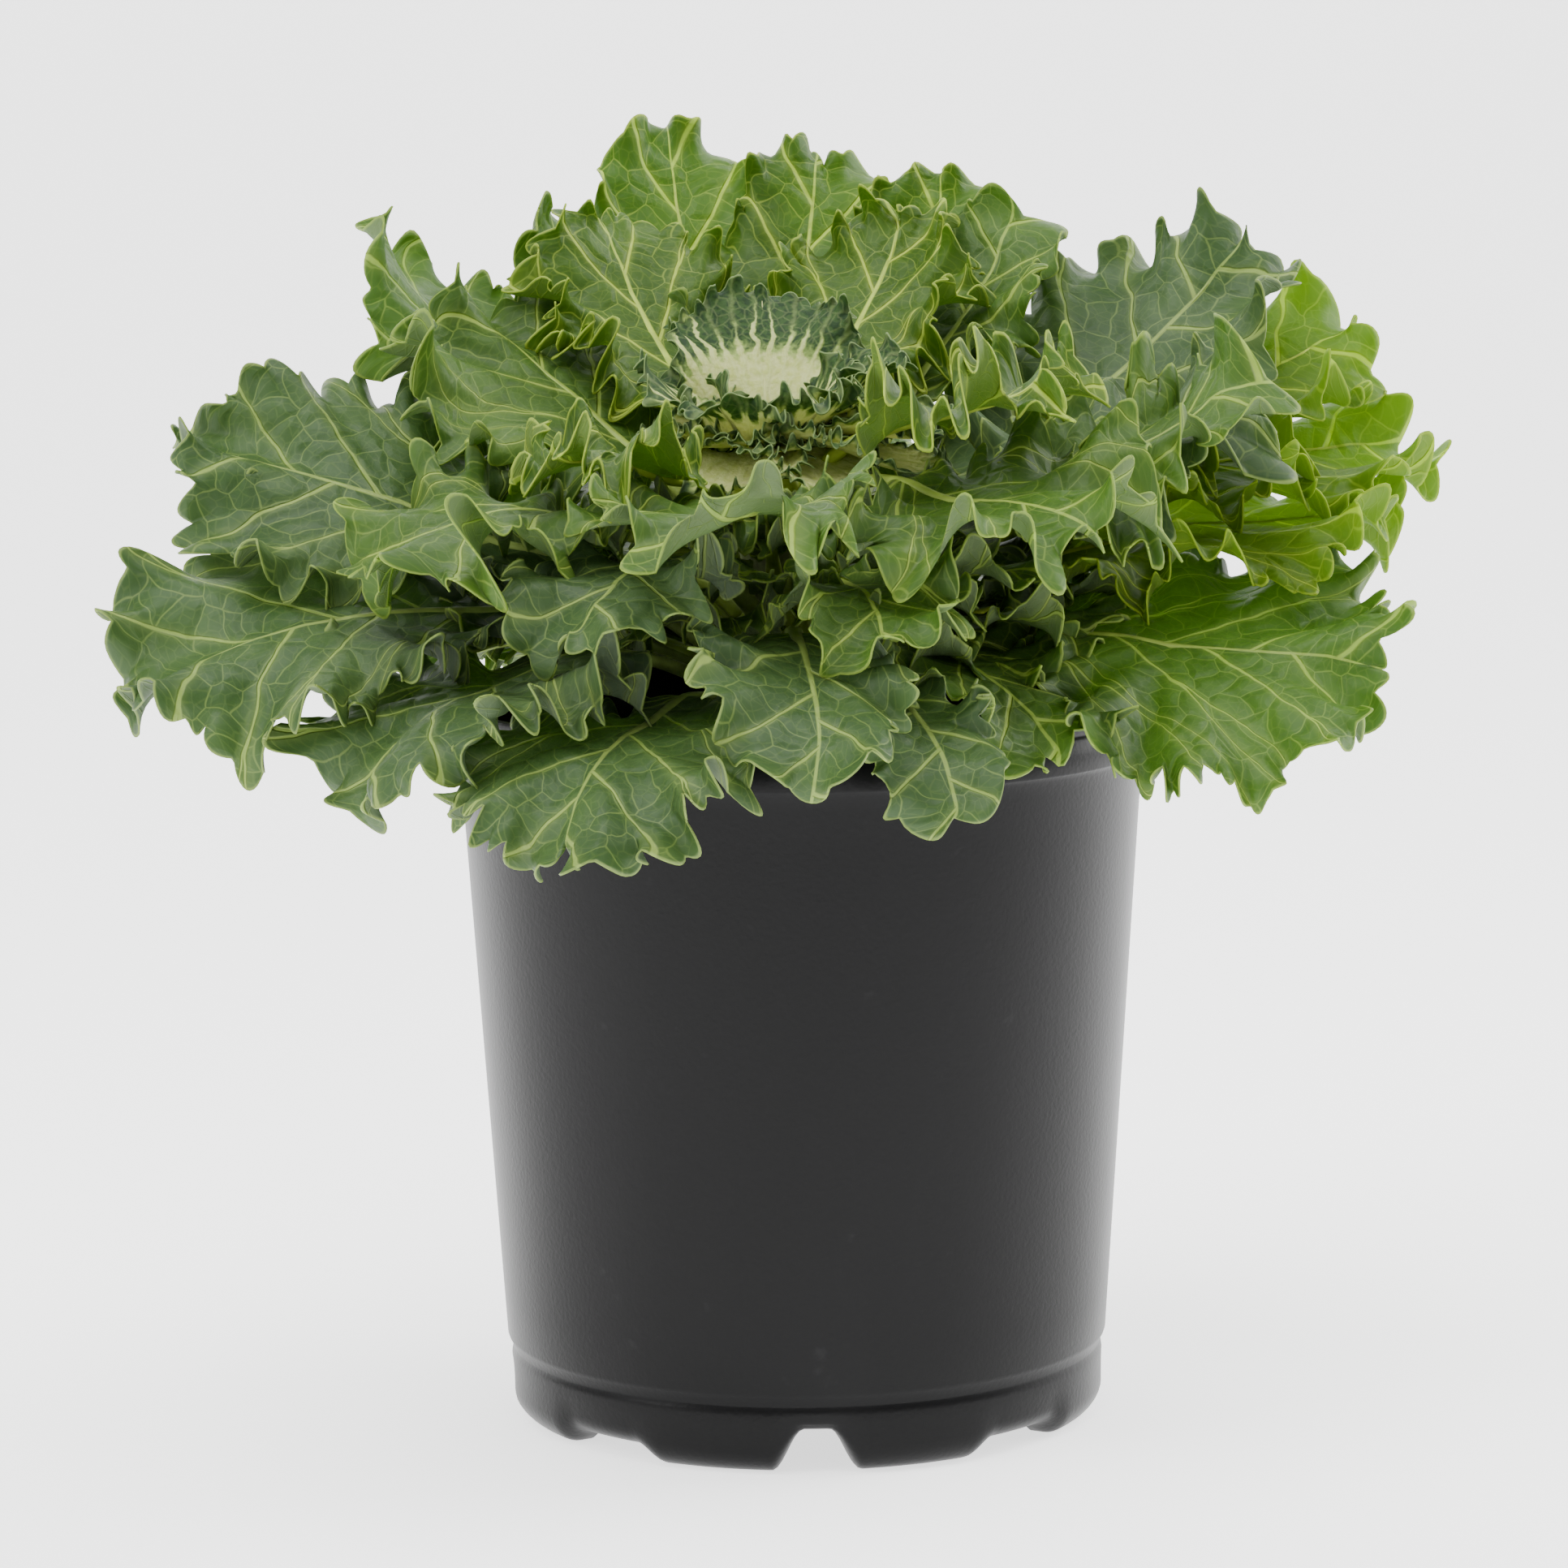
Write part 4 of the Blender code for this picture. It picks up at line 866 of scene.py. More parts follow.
def fineShares(blade, form):
    # Few rings on the calm middle of the blade, and many on the fringe
    start = 1 - form["outerShare"] * form["fringe"] / (0.5 * blade.leaf.width)
    start = min(max(start, 0.35), 0.75)
    inner = np.linspace(0, start, form["innerRings"] + 1)[1:]
    rings = form["middleRings"] + form["outerRings"]
    x = np.arange(1, rings + 1) / rings
    return np.concatenate((inner, start + (1 - start) * (1 - (1 - x) ** form["outerCrowd"])))


def fineSheet(sheet, form):
    # The ruffled blade: places, plan coordinates (along, across) and distance from the margin.
    # Towards the margin the blade turns up and down by an angle that swings along it,
    # in wide folds with small curls on them, so each fold rolls over as the growing edge does.
    blade = sheet.blade
    draw = np.random.default_rng(form["seed"] + blade.seed)
    phases = draw.uniform(0, fullTurn, 14)
    coarse = np.linspace(0, fullTurn, form["outlineSteps"] + 1)
    around = float(arcOf(np.stack(blade.flat(coarse, np.ones_like(coarse))[:2], axis=1))[-1])
    turns = turnsOf(8 * round(around / form["spokeGap"] / 8))
    shares = fineShares(blade, form)
    s, t = np.meshgrid(turns, shares)

    def ripple(count, phase, size, middle=0.0):
        # A swing between lows and highs, so many times round the blade
        return middle + size * np.sin(count * s + phases[phase])

    calm = blade.calm(s)
    drift = ripple(3, 2, 0.9) + ripple(4, 3, 0.7)
    first, second = form["uneven"]
    uneven = ripple(2, 0, first, 1.0) + ripple(5, 1, second)
    folds, notches, teeth = (round(around / form[key]) for key in ("foldPitch", "notchPitch", "toothPitch"))
    lobes = round(0.5 * around / form["lobePitch"])
    foldPhase = folds * s + drift + phases[4]
    lobePhase = lobes * s + 1.1 * drift + phases[5]
    gap = 1 - np.abs(np.sin(lobePhase))
    notch = (0.5 + 0.5 * np.cos(notches * s + drift + phases[6])) ** 6 * ripple(3, 7, 0.45, 0.55)
    tooth = np.abs(np.sin(0.5 * teeth * s + drift + phases[8])) * ripple(7, 9, 0.3, 0.7)
    turn = blade.turned(s)
    whole = blade.reach(turn)
    fringe = min(form["fringe"], form["fringeShare"] * blade.leaf.width)
    cut = form["scallop"] * blade.cut(s) * t ** 3
    cut -= form["notchDepth"] / whole * notch * t ** 5
    cut += form["toothDepth"] / whole * (tooth - 0.5) * t ** 6
    cut -= form["lobeDepth"] / whole * gap * ripple(4, 12, 0.3, 0.7) * t ** 5
    reach = whole * (1 + calm * cut)
    flat = t * reach
    start = np.clip(1 - fringe / whole, 0.3, 0.9)
    rise = risen(t, start)
    curlRise = risen(t, np.clip(1 - form["curlWidth"] * fringe / whole, 0.5, 0.95))
    angle = form["fold"] * uneven * rise ** form["foldRise"] * np.sin(foldPhase)
    angle += form["curl"] * (1.8 - uneven) * curlRise * (np.sin(lobePhase) + ripple(3, 13, 0.45))
    angle = form["most"] * np.tanh(angle / form["most"]) * calm
    step = np.diff(flat, axis=0, prepend=0)
    out = np.cumsum(step * np.cos(angle), axis=0)
    lift = np.cumsum(step * np.sin(angle), axis=0)
    # Where the fringe rolls, it has grown longer, so the margin still reaches its outline
    last = np.argmax(rise > 0, axis=0) - 1
    held = np.take_along_axis(out, last[None], axis=0)
    room = flat[-1:] - held
    stretch = np.clip(room / np.maximum(out[-1:] - held, 0.3 * room), 1.0, form["stretch"])
    out = np.where(t > start, held + stretch * (out - held), out)
    lift = lift * np.where(t > start, np.sqrt(stretch), 1.0) + blade.wave(s, t)
    waves = blade.leaf.waves
    lean = form["waveLean"] * risen(t, leafForm["waveStart"]) ** 1.5 * np.sin(2 * waves * s) / waves
    lean += form["foldLean"] * uneven * rise * np.sin(2 * foldPhase) / folds
    lean += form["curlLean"] * curlRise * np.sin(2 * lobePhase) / lobes
    a, b = blade.spot(out, turn - lean * calm)
    u, v = blade.spot(flat, turn)
    size = form["blisterSize"]
    blister = np.sin(fullTurn * (u - 0.8 * np.abs(v)) / size + phases[10])
    blister *= 0.7 + 0.3 * np.sin(fullTurn * v / (1.3 * size) + phases[11])
    lift += form["blister"] * blister * smooth(t / 0.3) * calm
    places = blade.bent(a, b, lift) + bendField(sheet, turns, shares)
    hub = blade.bent(np.array(blade.hub), np.array(0.0), np.array(0.0)) + sheet.bend()[0]
    return turns, shares, places, hub, u - blade.stem, v, (1 - t) * reach


def gridNormals(places, hub):
    # The surface's upper normals on a grid of rings and spokes
    around = np.roll(places, -1, axis=1) - np.roll(places, 1, axis=1)
    inner = np.concatenate((np.broadcast_to(hub, places[:1].shape), places[:-1]))
    outer = np.concatenate((places[1:], places[-1:]))
    normals = unit(np.cross(outer - inner, around) + 1e-12)
    return normals, unit(normals[0].mean(axis=0))


def ribTube(sheet, grid, scale=1.0):
    # The petiole and midrib: an oval tube from the stalk to near the blade's tip, sunk in the blade
    turns, places, hub = grid[0], grid[2], grid[3]
    blade = sheet.blade
    known = sheet.top * (1 - np.arange(len(sheet.petiole)) / (len(sheet.petiole) - 1))
    a = np.linspace(0.0, sheet.top, ribForm["stemSteps"] + 1)[:-1]
    order = np.argsort(known)
    moved = alongCurve(a, known[order], sheet.bend()[sheet.petiole][order])
    stem = blade.bent(a, np.zeros_like(a), np.zeros_like(a)) + moved
    line = np.concatenate((stem, places[::-1, len(turns) // 2], hub[None], places[:-ribForm["short"], 0]))
    arc = arcOf(line)
    along = np.linspace(0, arc[-1], ribForm["rows"])
    line = alongCurve(along, arc, line)
    for _ in range(2):
        line[1:-1] = 0.25 * line[:-2] + 0.5 * line[1:-1] + 0.25 * line[2:]
    tangent = unit(np.gradient(line, axis=0))
    side = squareTo(alongCurve(along, blade.arc, blade.side), tangent)
    up = np.cross(tangent, side)
    share = along / arc[-1]
    atBlade = sheet.top / arc[-1]
    wide, tall = (np.interp(share, (0, ribForm["flare"], atBlade, 1), ribForm[key]) * scale
                  for key in ("wide", "tall"))
    sides = ribForm["sides"]
    rounds = turnsOf(sides)
    drop = ribForm["sunk"] * tall * smooth((share - 0.5 * atBlade) / (0.5 * atBlade))
    across = side[:, None] * (wide[:, None] * np.cos(rounds))[..., None]
    upward = up[:, None] * (tall[:, None] * np.sin(rounds))[..., None]
    ring = (line - up * drop[:, None])[:, None] + across + upward
    plan = np.stack((np.repeat(along - blade.stem, sides), np.zeros(len(along) * sides)), axis=1)
    return ring.reshape(-1, 3), plan


class Builder:
    # Collects points, faces and what the materials read, for one piece
    def __init__(self):
        self.columns = ([], [], [], [])  # places, plan, distance from the margin, share of the blade
        self.faces = []
        self.kinds = []
        self.count = 0

    def add(self, *columns):
        start = self.count
        for kept, column in zip(self.columns, columns):
            kept.append(np.asarray(column, float))
        self.count += len(columns[0])
        return start

    def addFaces(self, faces, kind):
        self.faces += faces
        self.kinds += [kind] * len(faces)

    def addLeaf(self, sheet, form, planScale, far=1.0, ribScale=1.0):
        grid = fineSheet(sheet, form)
        addBlade(self, grid, form, planScale, far)
        verts, plan = ribTube(sheet, grid, ribScale)
        count = len(verts)
        start = self.add(verts, plan * planScale, np.full(count, 0.02), np.linspace(0, 1, count))
        self.addFaces(ringFaces(count // ribForm["sides"], ribForm["sides"], start), 2)

    def build(self, name, materials):
        verts, plan, edge, share = (np.concatenate(column) for column in self.columns)
        mesh = newMesh(name, verts.tolist(), self.faces, *materials)
        mesh.polygons.foreach_set("material_index", np.array(self.kinds, np.int32))
        loops = np.empty(len(mesh.loops), np.int32)
        mesh.loops.foreach_get("vertex_index", loops)
        layer = mesh.uv_layers.new(name="leafPlan")
        layer.uv.foreach_set("vector", plan[loops].astype(np.float32).ravel())
        for label, values in (("edge", edge), ("share", share)):
            attribute = mesh.attributes.new(label, "FLOAT", "POINT")
            attribute.data.foreach_set("value", values.astype(np.float32))
        return newObject(name, mesh)


def addBlade(builder, grid, form, planScale, far):
    # Upper and lower faces joined at the margin, with a quarter of the spokes near the hub,
    # half of them half way out and all of them on the fringe
    _, shares, places, hubPlace, u, v, edge = grid
    rings, spokes = u.shape
    share = far * np.hypot(u, v) / u.max()
    normals, hubNormal = gridNormals(places, hubPlace)
    thick = np.interp(shares, (0.0, 1.0), (form["thick"], form["thickMargin"]))
    half = 0.5 * thick[:, None, None] * normals
    plan = np.stack((u, v), axis=2) * planScale
    margins = []
    for kind, sign in enumerate((1, -1)):
        hubPoint = hubPlace + sign * 0.5 * form["thick"] * hubNormal
        hubPlan = (float(u[0].mean()) * planScale, 0.0)
        hub = builder.add([hubPoint], [hubPlan], [edge[0].mean() + 0.002], [share[0].mean()])
        side = places + sign * half
        faces = []
        lower = []
        for ring in range(rings):
            near, middle = form["innerRings"], form["innerRings"] + form["middleRings"]
            step = 4 if ring < near else 2 if ring < middle else 1
            start = builder.add(*(column[ring, ::step] for column in (side, plan, edge, share)))
            upper = list(range(start, start + spokes // step))
            count = len(upper)
            for k in range(count):
                n = (k + 1) % count
                if not lower:
                    faces.append((hub, upper[k], upper[n]))
                elif len(lower) == count:
                    faces.append((lower[k], upper[k], upper[n], lower[n]))
                elif k % 2 == 0:
                    here, after = lower[k // 2], lower[(k // 2 + 1) % len(lower)]
                    faces.append((here, upper[k], upper[n]))
                    faces.append((here, upper[n], after))
                    faces.append((after, upper[n], upper[(k + 2) % count]))
            lower = upper
        builder.addFaces([face[::-1] for face in faces] if kind else faces, kind)
        margins.append(lower)
    top, under = margins
    rim = [(top[k], under[k], under[(k + 1) % spokes], top[(k + 1) % spokes]) for k in range(spokes)]
    builder.addFaces(rim, 0)


# Leaf finishes: upper face, its lighter parts, underside, veins, light let through, share let through,
# lean of the side veins along the midrib and their spacing in centimetres
leafLooks = {
    "deep": ((0.041, 0.083, 0.026), (0.06, 0.112, 0.034), (0.115, 0.16, 0.092), (0.31, 0.42, 0.095),
             (0.24, 0.42, 0.03), 0.22, 0.8, 1.8),
    "green": ((0.046, 0.101, 0.015), (0.071, 0.144, 0.022), (0.128, 0.182, 0.078), (0.37, 0.5, 0.085),
              (0.3, 0.53, 0.02), 0.28, 0.95, 1.9),
    "fresh": ((0.039, 0.093, 0.006), (0.063, 0.134, 0.01), (0.125, 0.195, 0.04), (0.5, 0.64, 0.08),
              (0.3, 0.54, 0.01), 0.28, 1.5, 2.3),
    # This look's lighter, yellower colours are partly painted backlight: they raise these leaves' own
    # colour to look lit from behind, on top of the light they really let through
    "bright": ((0.06, 0.121, 0.005), (0.089, 0.171, 0.007), (0.14, 0.225, 0.036), (0.48, 0.62, 0.05),
               (0.43, 0.65, 0.01), 0.42, 0.8, 1.8),
}


def tinted(colour, times, plus=0.0):
    return tuple(min(1.0, times * c + plus) for c in colour)


def veins(skin, plan, rake, pace):
    # Shares of midrib, laterals, net and fine net at a place of the leaf's plan, in centimetres.
    # Each lateral leaves the midrib alone and forks on its way to the margin.
    along, across = skin.split(plan)
    wander = skin.noise(plan, 0.45, 2.5, "Color", True)
    wanderAlong, wanderAcross = skin.split(wander)
    side = abs(across)
    fade = side.above(0.0, 1.2)
    u = along + fade * wanderAlong.scaled(0.8, -0.4)
    v = (side + fade * wanderAcross.scaled(0.5, -0.25)).atLeast(0.0)
    mid = (side / along.scaled(-0.011, 0.11).atLeast(0.026)).below(0.6, 1.25)
    q = u - v * v.scaled(0.075, rake) + skin.calc("SIGN", across) * (0.24 * pace)
    angle = skin.calc("ARCTAN2", v, u) - math.atan(1 / rake)
    far = skin.far(u, v)
    distances = []
    for row, gap, reach in ((q, pace, v), (angle, 0.5, far)):
        part, chance = skin.rows(row, gap)
        fork = (reach - chance.scaled(1.3, 0.9)).above(0.0, 2.4) * 0.25
        distances.append(abs(part - fork) * gap)
    feather = distances[0] * (1 / math.hypot(1, rake))
    fan = distances[1] * far
    distance = skin.node("Mix", {0: skin.calc("GREATER_THAN", q, 0.0), 2: fan, 3: feather})
    laterals = (distance / side.scaled(-0.012, 0.056).atLeast(0.018)).below(0.5, 1.3)
    bent = skin.node("VectorMath", {0: plan, 1: wander}, operation="ADD")
    cells = skin.cells(bent, 1.5)
    fine = skin.cells(bent, 4.6).below(0.02, 0.1)
    return mid, laterals, cells.below(0.007, 0.03), fine, cells, distance


def leafMaterial(look, upper):
    dark, light, under, vein, through, share, rake, pace = leafLooks[look]
    skin = Skin(f"kale leaf {look} {'upper' if upper else 'under'}")
    plan = skin.plan()
    mid, laterals, net, fine, cells, distance = veins(skin, plan, rake, pace)
    blotch = skin.noise(plan, 0.55, 4.0, flat=True)
    grit = skin.noise(plan, 14.0, 3.0, flat=True)
    if upper:
        lamina = skin.mix(blotch.above(0.35, 0.68), dark, light)
    else:
        lamina = skin.mix(blotch.above(0.3, 0.72), under, tinted(under, 0.78))
    lamina = skin.mix(distance.below(0.0, 0.22) * 0.16, lamina, vein)
    lamina = skin.mix(grit.above(0.4, 0.75) * 0.12, lamina, dark)
    lines = (net * 0.4).atLeast(fine * 0.1).atLeast(laterals).atLeast(mid)
    colour = skin.mix(lines * (0.8 if upper else 0.58), lamina, vein)
    colour = skin.mix(skin.known("edge").below(0.0002, 0.0008) * 0.55, colour, vein)
    glow = skin.mix(lines * 0.7, through, tinted(through, 1.5, 0.1))
    if upper:
        height = cells.above(0.0, 0.32) * 0.5 + laterals * -0.5 + grit * 0.1
    else:
        height = lines * 0.9 + grit * 0.1
    return skin.finishLeaf(colour, glow, share, height, grit.scaled(0.18, 0.36 if upper else 0.5), 0.0006)


def ribMaterial(look):
    light, vein, through = (leafLooks[look][k] for k in (1, 3, 4))
    skin = Skin(f"kale rib {look}")
    streak = skin.noise(skin.where(), 260.0, 3.0)
    base = skin.mix(streak.above(0.3, 0.75), vein, tinted(vein, 0.72))
    tip, _ = skin.split(skin.plan())
    colour = skin.mix(tip.above(-1.0, 6.0) * 0.18, base, light)
    return skin.finishLeaf(colour, (*through, 1), 0.1, streak, 0.42, 0.0003)


# Rosette

lookOf = {look: set(names.split()) for look, names in {
    "deep": "apron_leaf_left drooping_leaf_left spread_leaf_left side_leaf_left tall_leaf_right "
            "apron_leaf_middle apron_leaf_small side_leaf_inner_right front_leaf_left "
            "back_leaf_1 back_leaf_2 back_leaf_3",
    # Leaves on the right, whose look has painted backlight
    "bright": "spread_leaf_right side_leaf_right upper_leaf_right",
    "fresh": "fan_leaf_left fan_leaf_right fan_leaf_small inner_leaf_left inner_leaf_right "
             "rear_leaf_middle_left rear_leaf_middle_right",
}.items()}
planUnit = 100.0  # the veins' plan is in centimetres on a blade of this length
commonBlade = 0.075

leafletForm = dict(seed=700, ribScale=0.8, leaf=dict(stem=0.3, cup=20, waves=5, frill=6))

# Small leaves low round the stalk, between the large ones:
# azimuth, reach, tip height, rise, fall, blade width, height of the seat
leaflets = (
    (-92, 60, 208, 48, 10, 44, 188), (-64, 70, 200, 44, 0, 46, 184), (-120, 66, 196, 44, 0, 44, 180),
    (-36, 74, 206, 44, 5, 46, 188), (-8, 72, 216, 46, 10, 44, 196), (-150, 70, 204, 44, 0, 44, 186),
    (172, 68, 212, 46, 10, 42, 192), (24, 72, 208, 44, 5, 46, 190), (52, 82, 206, 42, 0, 56, 186),
    (84, 84, 205, 42, 0, 56, 184), (112, 80, 206, 42, 0, 52, 188), (140, 74, 208, 44, 0, 48, 190),
    (68, 60, 230, 56, 30, 46, 204), (-76, 46, 218, 58, 20, 36, 200), (180, 92, 190, 34, -12, 56, 176),
    (6, 84, 193, 34, -10, 54, 178), (-24, 80, 188, 36, -20, 48, 178), (-163, 86, 188, 34, -14, 50, 176),
    (28, 98, 168, 36, -48, 62, 170), (60, 98, 167, 36, -50, 64, 168), (98, 98, 167, 36, -50, 64, 170),
    (132, 98, 167, 36, -48, 62, 168), (160, 104, 172, 34, -30, 60, 170), (-100, 48, 220, 60, 10, 34, 200),
    (-55, 50, 220, 60, 10, 34, 200), (-135, 52, 221, 60, 10, 36, 200), (66, 94, 170, 44, -55, 62, 184),
    (134, 94, 170, 44, -52, 60, 184), (-50, 94, 164, 36, -46, 56, 178), (-44, 76, 180, 38, -20, 48, 178),
)


def planScale(sheet):
    return planUnit * math.sqrt(commonBlade / sheet.blade.blade)


def makeLeaves(sheets, materials):
    for sheet in sheets:
        name = sheet.blade.leaf.name
        look = next((key for key, names in lookOf.items() if name in names), "green")
        form = backRuffle if name.startswith("back_leaf") else fanRuffle if look == "fresh" else ruffle
        builder = Builder()
        builder.addLeaf(sheet, form, planScale(sheet))
        # Leaves with painted backlight go to a slot of their own
        slot = "leaf_bright" if look == "bright" else "leaf_green"
        place(builder.build("curly_" + name, materials[look]), slot, name)


def makeLeaflets(materials):
    builder = Builder()
    for number, (azimuth, reach, height, rise, fall, width, seat) in enumerate(leaflets):
        leaf = leafOf("leaflet", azimuth, reach, height, rise, fall, width=width, **leafletForm["leaf"])
        sheet = Sheet(Blade(leaf, leafletForm["seed"] + number, seat / 1000))
        builder.addLeaf(sheet, leafletRuffle, planScale(sheet), ribScale=leafletForm["ribScale"])
    place(builder.build("inner_leaflets", materials), "leaf_green")


# Heart

heart = dict(
    rootZ=0.226, seed=600, seatRadius=0.0052, curlLift=0.004, curlSeat=0.6, planScale=220.0,
    leafRib=0.5, curlRib=0.4, curlFar=0.64,
    cream=(0.65, 0.68, 0.3), creamDeep=(0.53, 0.585, 0.18), creamLine=(0.72, 0.76, 0.36),
    green=(0.044, 0.1, 0.024), greenDeep=(0.022, 0.054, 0.018), between=(0.3, 0.42, 0.1),
    strand=(0.46, 0.58, 0.2), margin=(0.36, 0.5, 0.18), linePitch=0.24,
    glow=((0.86, 0.9, 0.42), (0.12, 0.26, 0.03)), rib=((0.58, 0.61, 0.24), (0.48, 0.52, 0.18)),
    ribGlow=(0.75, 0.78, 0.35, 1), curlSeed=650, curl=dict(fall=25, stem=0.1, cup=65, waves=3, frill=1.2),
)

# Young curls inside the rosette: azimuth, reach, tip height, rise, blade width
youngCurls = (
    (20, 12, 244, 74, 17), (-14, 7, 241, 80, 13), (150, 12, 243, 76, 16), (-104, 16, 240.5, 72, 16),
    (-62, 15, 241.5, 74, 16), (-148, 18, 242.5, 72, 17), (-84, 26, 240, 62, 20), (-30, 27, 245, 62, 20),
    (-165, 30, 244, 58, 20), (-60, 36, 235, 55, 30), (-95, 38, 234, 55, 32), (-125, 40, 235, 55, 30),
    (-150, 43, 237, 55, 30), (-30, 40, 237, 55, 28), (-5, 37, 241, 55, 24), (-74, 42, 226, 50, 34),
    (-112, 44, 225, 50, 34), (-42, 46, 229, 50, 32),
)


def heartMaterial(upper):
    # Cream at the base, with cream veins running out through the green of a dark margin
    skin = Skin(f"kale heart {'upper' if upper else 'under'}")
    plan = skin.plan()
    edge = skin.known("edge")
    along, across = skin.split(plan)
    wander = skin.noise(plan, 0.9, 3.0, flat=True)
    blotch = skin.noise(plan, 2.6, 4.0, flat=True)
    ahead = along + 1.2
    angle = skin.calc("ARCTAN2", across, ahead) + wander.scaled(0.1, -0.05)
    far = skin.far(ahead, across)
    pitch = heart["linePitch"]
    part, chance = skin.rows(angle, pitch)
    ray = abs(part - far.above(2.6, 6.5) * 0.25) * pitch * far
    lines = ray.below(0.02, 0.24)
    net = skin.cells(plan, 1.6).below(0.02, 0.12)
    pale = skin.mix(blotch.above(0.35, 0.7), heart["cream"], heart["creamDeep"])
    pale = skin.mix(ray.below(0.0, 0.06) * 0.5, pale, heart["creamLine"])
    leafy = skin.mix(blotch.above(0.4, 0.62), heart["green"], heart["greenDeep"])
    reach = skin.known("share") + blotch.scaled(0.14, -0.07) - lines * chance.scaled(0.3, 0.1)
    rim = (edge + blotch.scaled(0.003, -0.0015)).below(0.0008, 0.003)
    leafShare = reach.above(0.47, 0.66).atLeast(rim)
    colour = skin.mix(leafShare.above(0.0, 0.5), pale, heart["between"])
    colour = skin.mix(leafShare.above(0.35, 1.0), colour, leafy)
    colour = skin.mix((net * 0.14).atLeast(lines * 0.22), colour, heart["strand"])
    colour = skin.mix(edge.below(0.0001, 0.0004) * 0.6, colour, heart["margin"])
    glow = skin.mix(leafShare, *heart["glow"])
    return skin.finishLeaf(colour, glow, 0.34, lines * (0.4 if upper else 0.6) + blotch, 0.6, 0.0004)


def heartRibMaterial():
    skin = Skin("kale heart rib")
    streak = skin.noise(skin.where(), 300.0, 3.0)
    return skin.finishLeaf(skin.mix(streak, *heart["rib"]), heart["ribGlow"], 0.15, streak, 0.4, 0.0003)


def makeHeart(rosette):
    builder = Builder()
    for sheet in rosette:
        builder.addLeaf(sheet, heartRuffle, heart["planScale"], ribScale=heart["leafRib"])
    for number, (azimuth, reach, height, rise, width) in enumerate(youngCurls):
        leaf = leafOf("young_curl", azimuth, reach, height, rise, width=width, **heart["curl"])
        blade = Blade(leaf, heart["curlSeed"] + number, heart["rootZ"] + heart["curlLift"],
                      heart["curlSeat"] * heart["seatRadius"])
        builder.addLeaf(Sheet(blade), curlRuffle, heart["planScale"], heart["curlFar"], heart["curlRib"])
    materials = (heartMaterial(True), heartMaterial(False), heartRibMaterial())
    place(builder.build("curly_heart", materials), "heart_cream", "heart")


# Studio

studio = dict(
    cameraPlace=(-0.0041, -1.298, 0.325), tilt=7.633, swing=-0.599, lens=126.0, sensor=36.0, world=0.74,
    paper=(0.86, 0.88), paperGlow=1.6, halfWide=4.0, frontY=-3.0, bendY=1.2, bend=0.8, top=3.2,
    aim=(0, 0, 0.2),
    lights=(
        ("top_softbox", (-0.1, -0.3, 1.4), (1.1, 1.1), 20.0),
        ("left_softbox", (-1.3, -0.7, 0.9), (0.7, 1.2), 14.0),
        ("right_softbox", (1.2, 0.35, 0.8), (0.7, 1.2), 20.0),
    ),
)


def stageMaterial():
    skin = Skin("pale studio paper")
    dark, light = studio["paper"]
    colour = skin.mix(skin.noise(skin.where(), 3.0, 2.0), (dark,) * 3, (light,) * 3)
    return skin.finish(skin.node("BsdfPrincipled", {
        "Base Color": colour, "Roughness": 0.9, "Emission Color": (1, 1, 1, 1),
        "Emission Strength": studio["paperGlow"]}))


def addArea(name, at, size, power):
    light = bpy.data.lights.new(name, "AREA")
    light.shape = "RECTANGLE"
    light.size, light.size_y = size
    light.energy = power
    obj = newObject(name, light)
    obj.location = at
    obj.rotation_euler = (Vector(studio["aim"]) - Vector(at)).to_track_quat("-Z", "Y").to_euler()


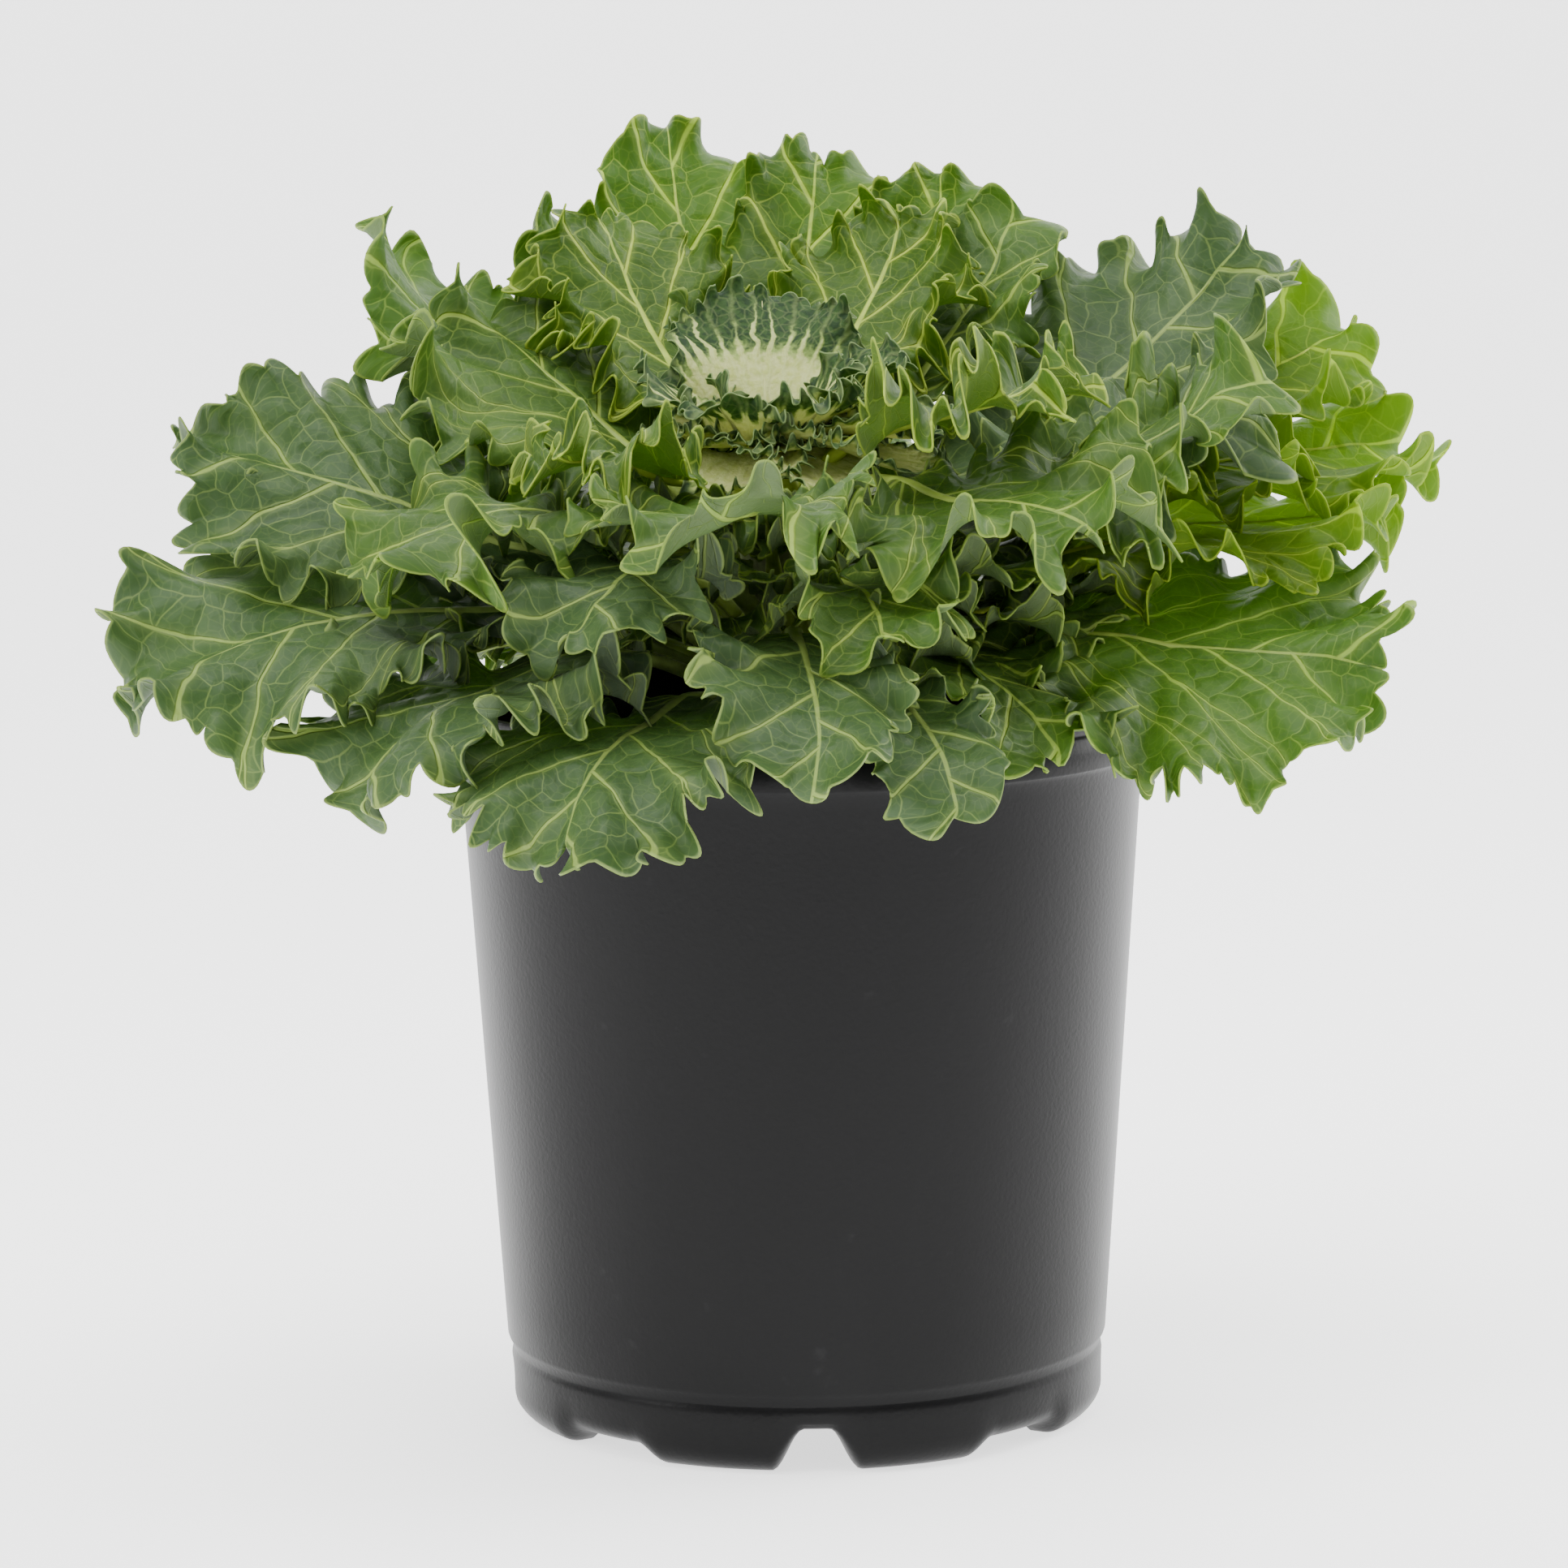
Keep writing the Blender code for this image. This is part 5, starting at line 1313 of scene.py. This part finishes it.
def makeStudio():
    foot, bendR = studio["bendY"], studio["bend"]
    profile = [(studio["frontY"], 0.0), (foot, 0.0)]
    turns = np.radians(np.linspace(10, 90, 9))
    profile += [(foot + bendR * math.sin(turn), bendR - bendR * math.cos(turn)) for turn in turns]
    profile += [(foot + bendR, studio["top"])]
    verts = [(x, y, z) for y, z in profile for x in (-studio["halfWide"], studio["halfWide"])]
    faces = [(2 * i, 2 * i + 1, 2 * i + 3, 2 * i + 2) for i in range(len(profile) - 1)]
    sweep = newObject("paper_sweep", newMesh("paper_sweep", verts, faces, stageMaterial()))
    world = bpy.data.worlds.new("studio")
    bpy.context.scene.world = world
    world.use_nodes = True
    sky = world.node_tree.nodes["Background"].inputs
    sky["Color"].default_value = (1.0, 1.0, 1.0, 1.0)
    sky["Strength"].default_value = studio["world"]
    for light in studio["lights"]:
        addArea(*light)
    camera = bpy.data.cameras.new("camera")
    camera.lens = studio["lens"]
    camera.sensor_width = studio["sensor"]
    obj = newObject("camera", camera)
    tilt = Matrix.Rotation(math.radians(90 - studio["tilt"]), 4, "X")
    swing = Matrix.Rotation(math.radians(studio["swing"]), 4, "Z")
    obj.matrix_world = Matrix.Translation(studio["cameraPlace"]) @ tilt @ swing
    bpy.context.scene.camera = obj


# The whole plant

seats = seatHeights(leaves)
sheets = [Sheet(Blade(leaf, number, seat)) for number, (leaf, seat) in enumerate(zip(leaves, seats))]
rosette = [Sheet(Blade(leaf, heart["seed"] + number, heart["rootZ"], heart["seatRadius"]))
           for number, leaf in enumerate(heartLeaves)]
for sheet in rosette:
    sheet.free[:] = 0.0
clearLeaves(sheets + rosette)
print("leaves bent clear")

leafMaterials = {look: (leafMaterial(look, True), leafMaterial(look, False), ribMaterial(look))
                 for look in leafLooks}
makeLeaves(sheets, leafMaterials)
print("leaves made")
makeLeaflets(leafMaterials["green"])
print("leaflets made")
makeHeart(rosette)
print("heart made")
makePot()
print("pot made")

makeSoil()
barkCount = round(soil["crumbs"] * (1 - soil["paleShare"]))
makeCrumbs("bark", barkCount, soil["seed"] + 1)
makeCrumbs("perlite", soil["crumbs"] - barkCount, soil["seed"] + 2)
makeStalk()
print("soil and stalk made")
makeStudio()
print("studio set")
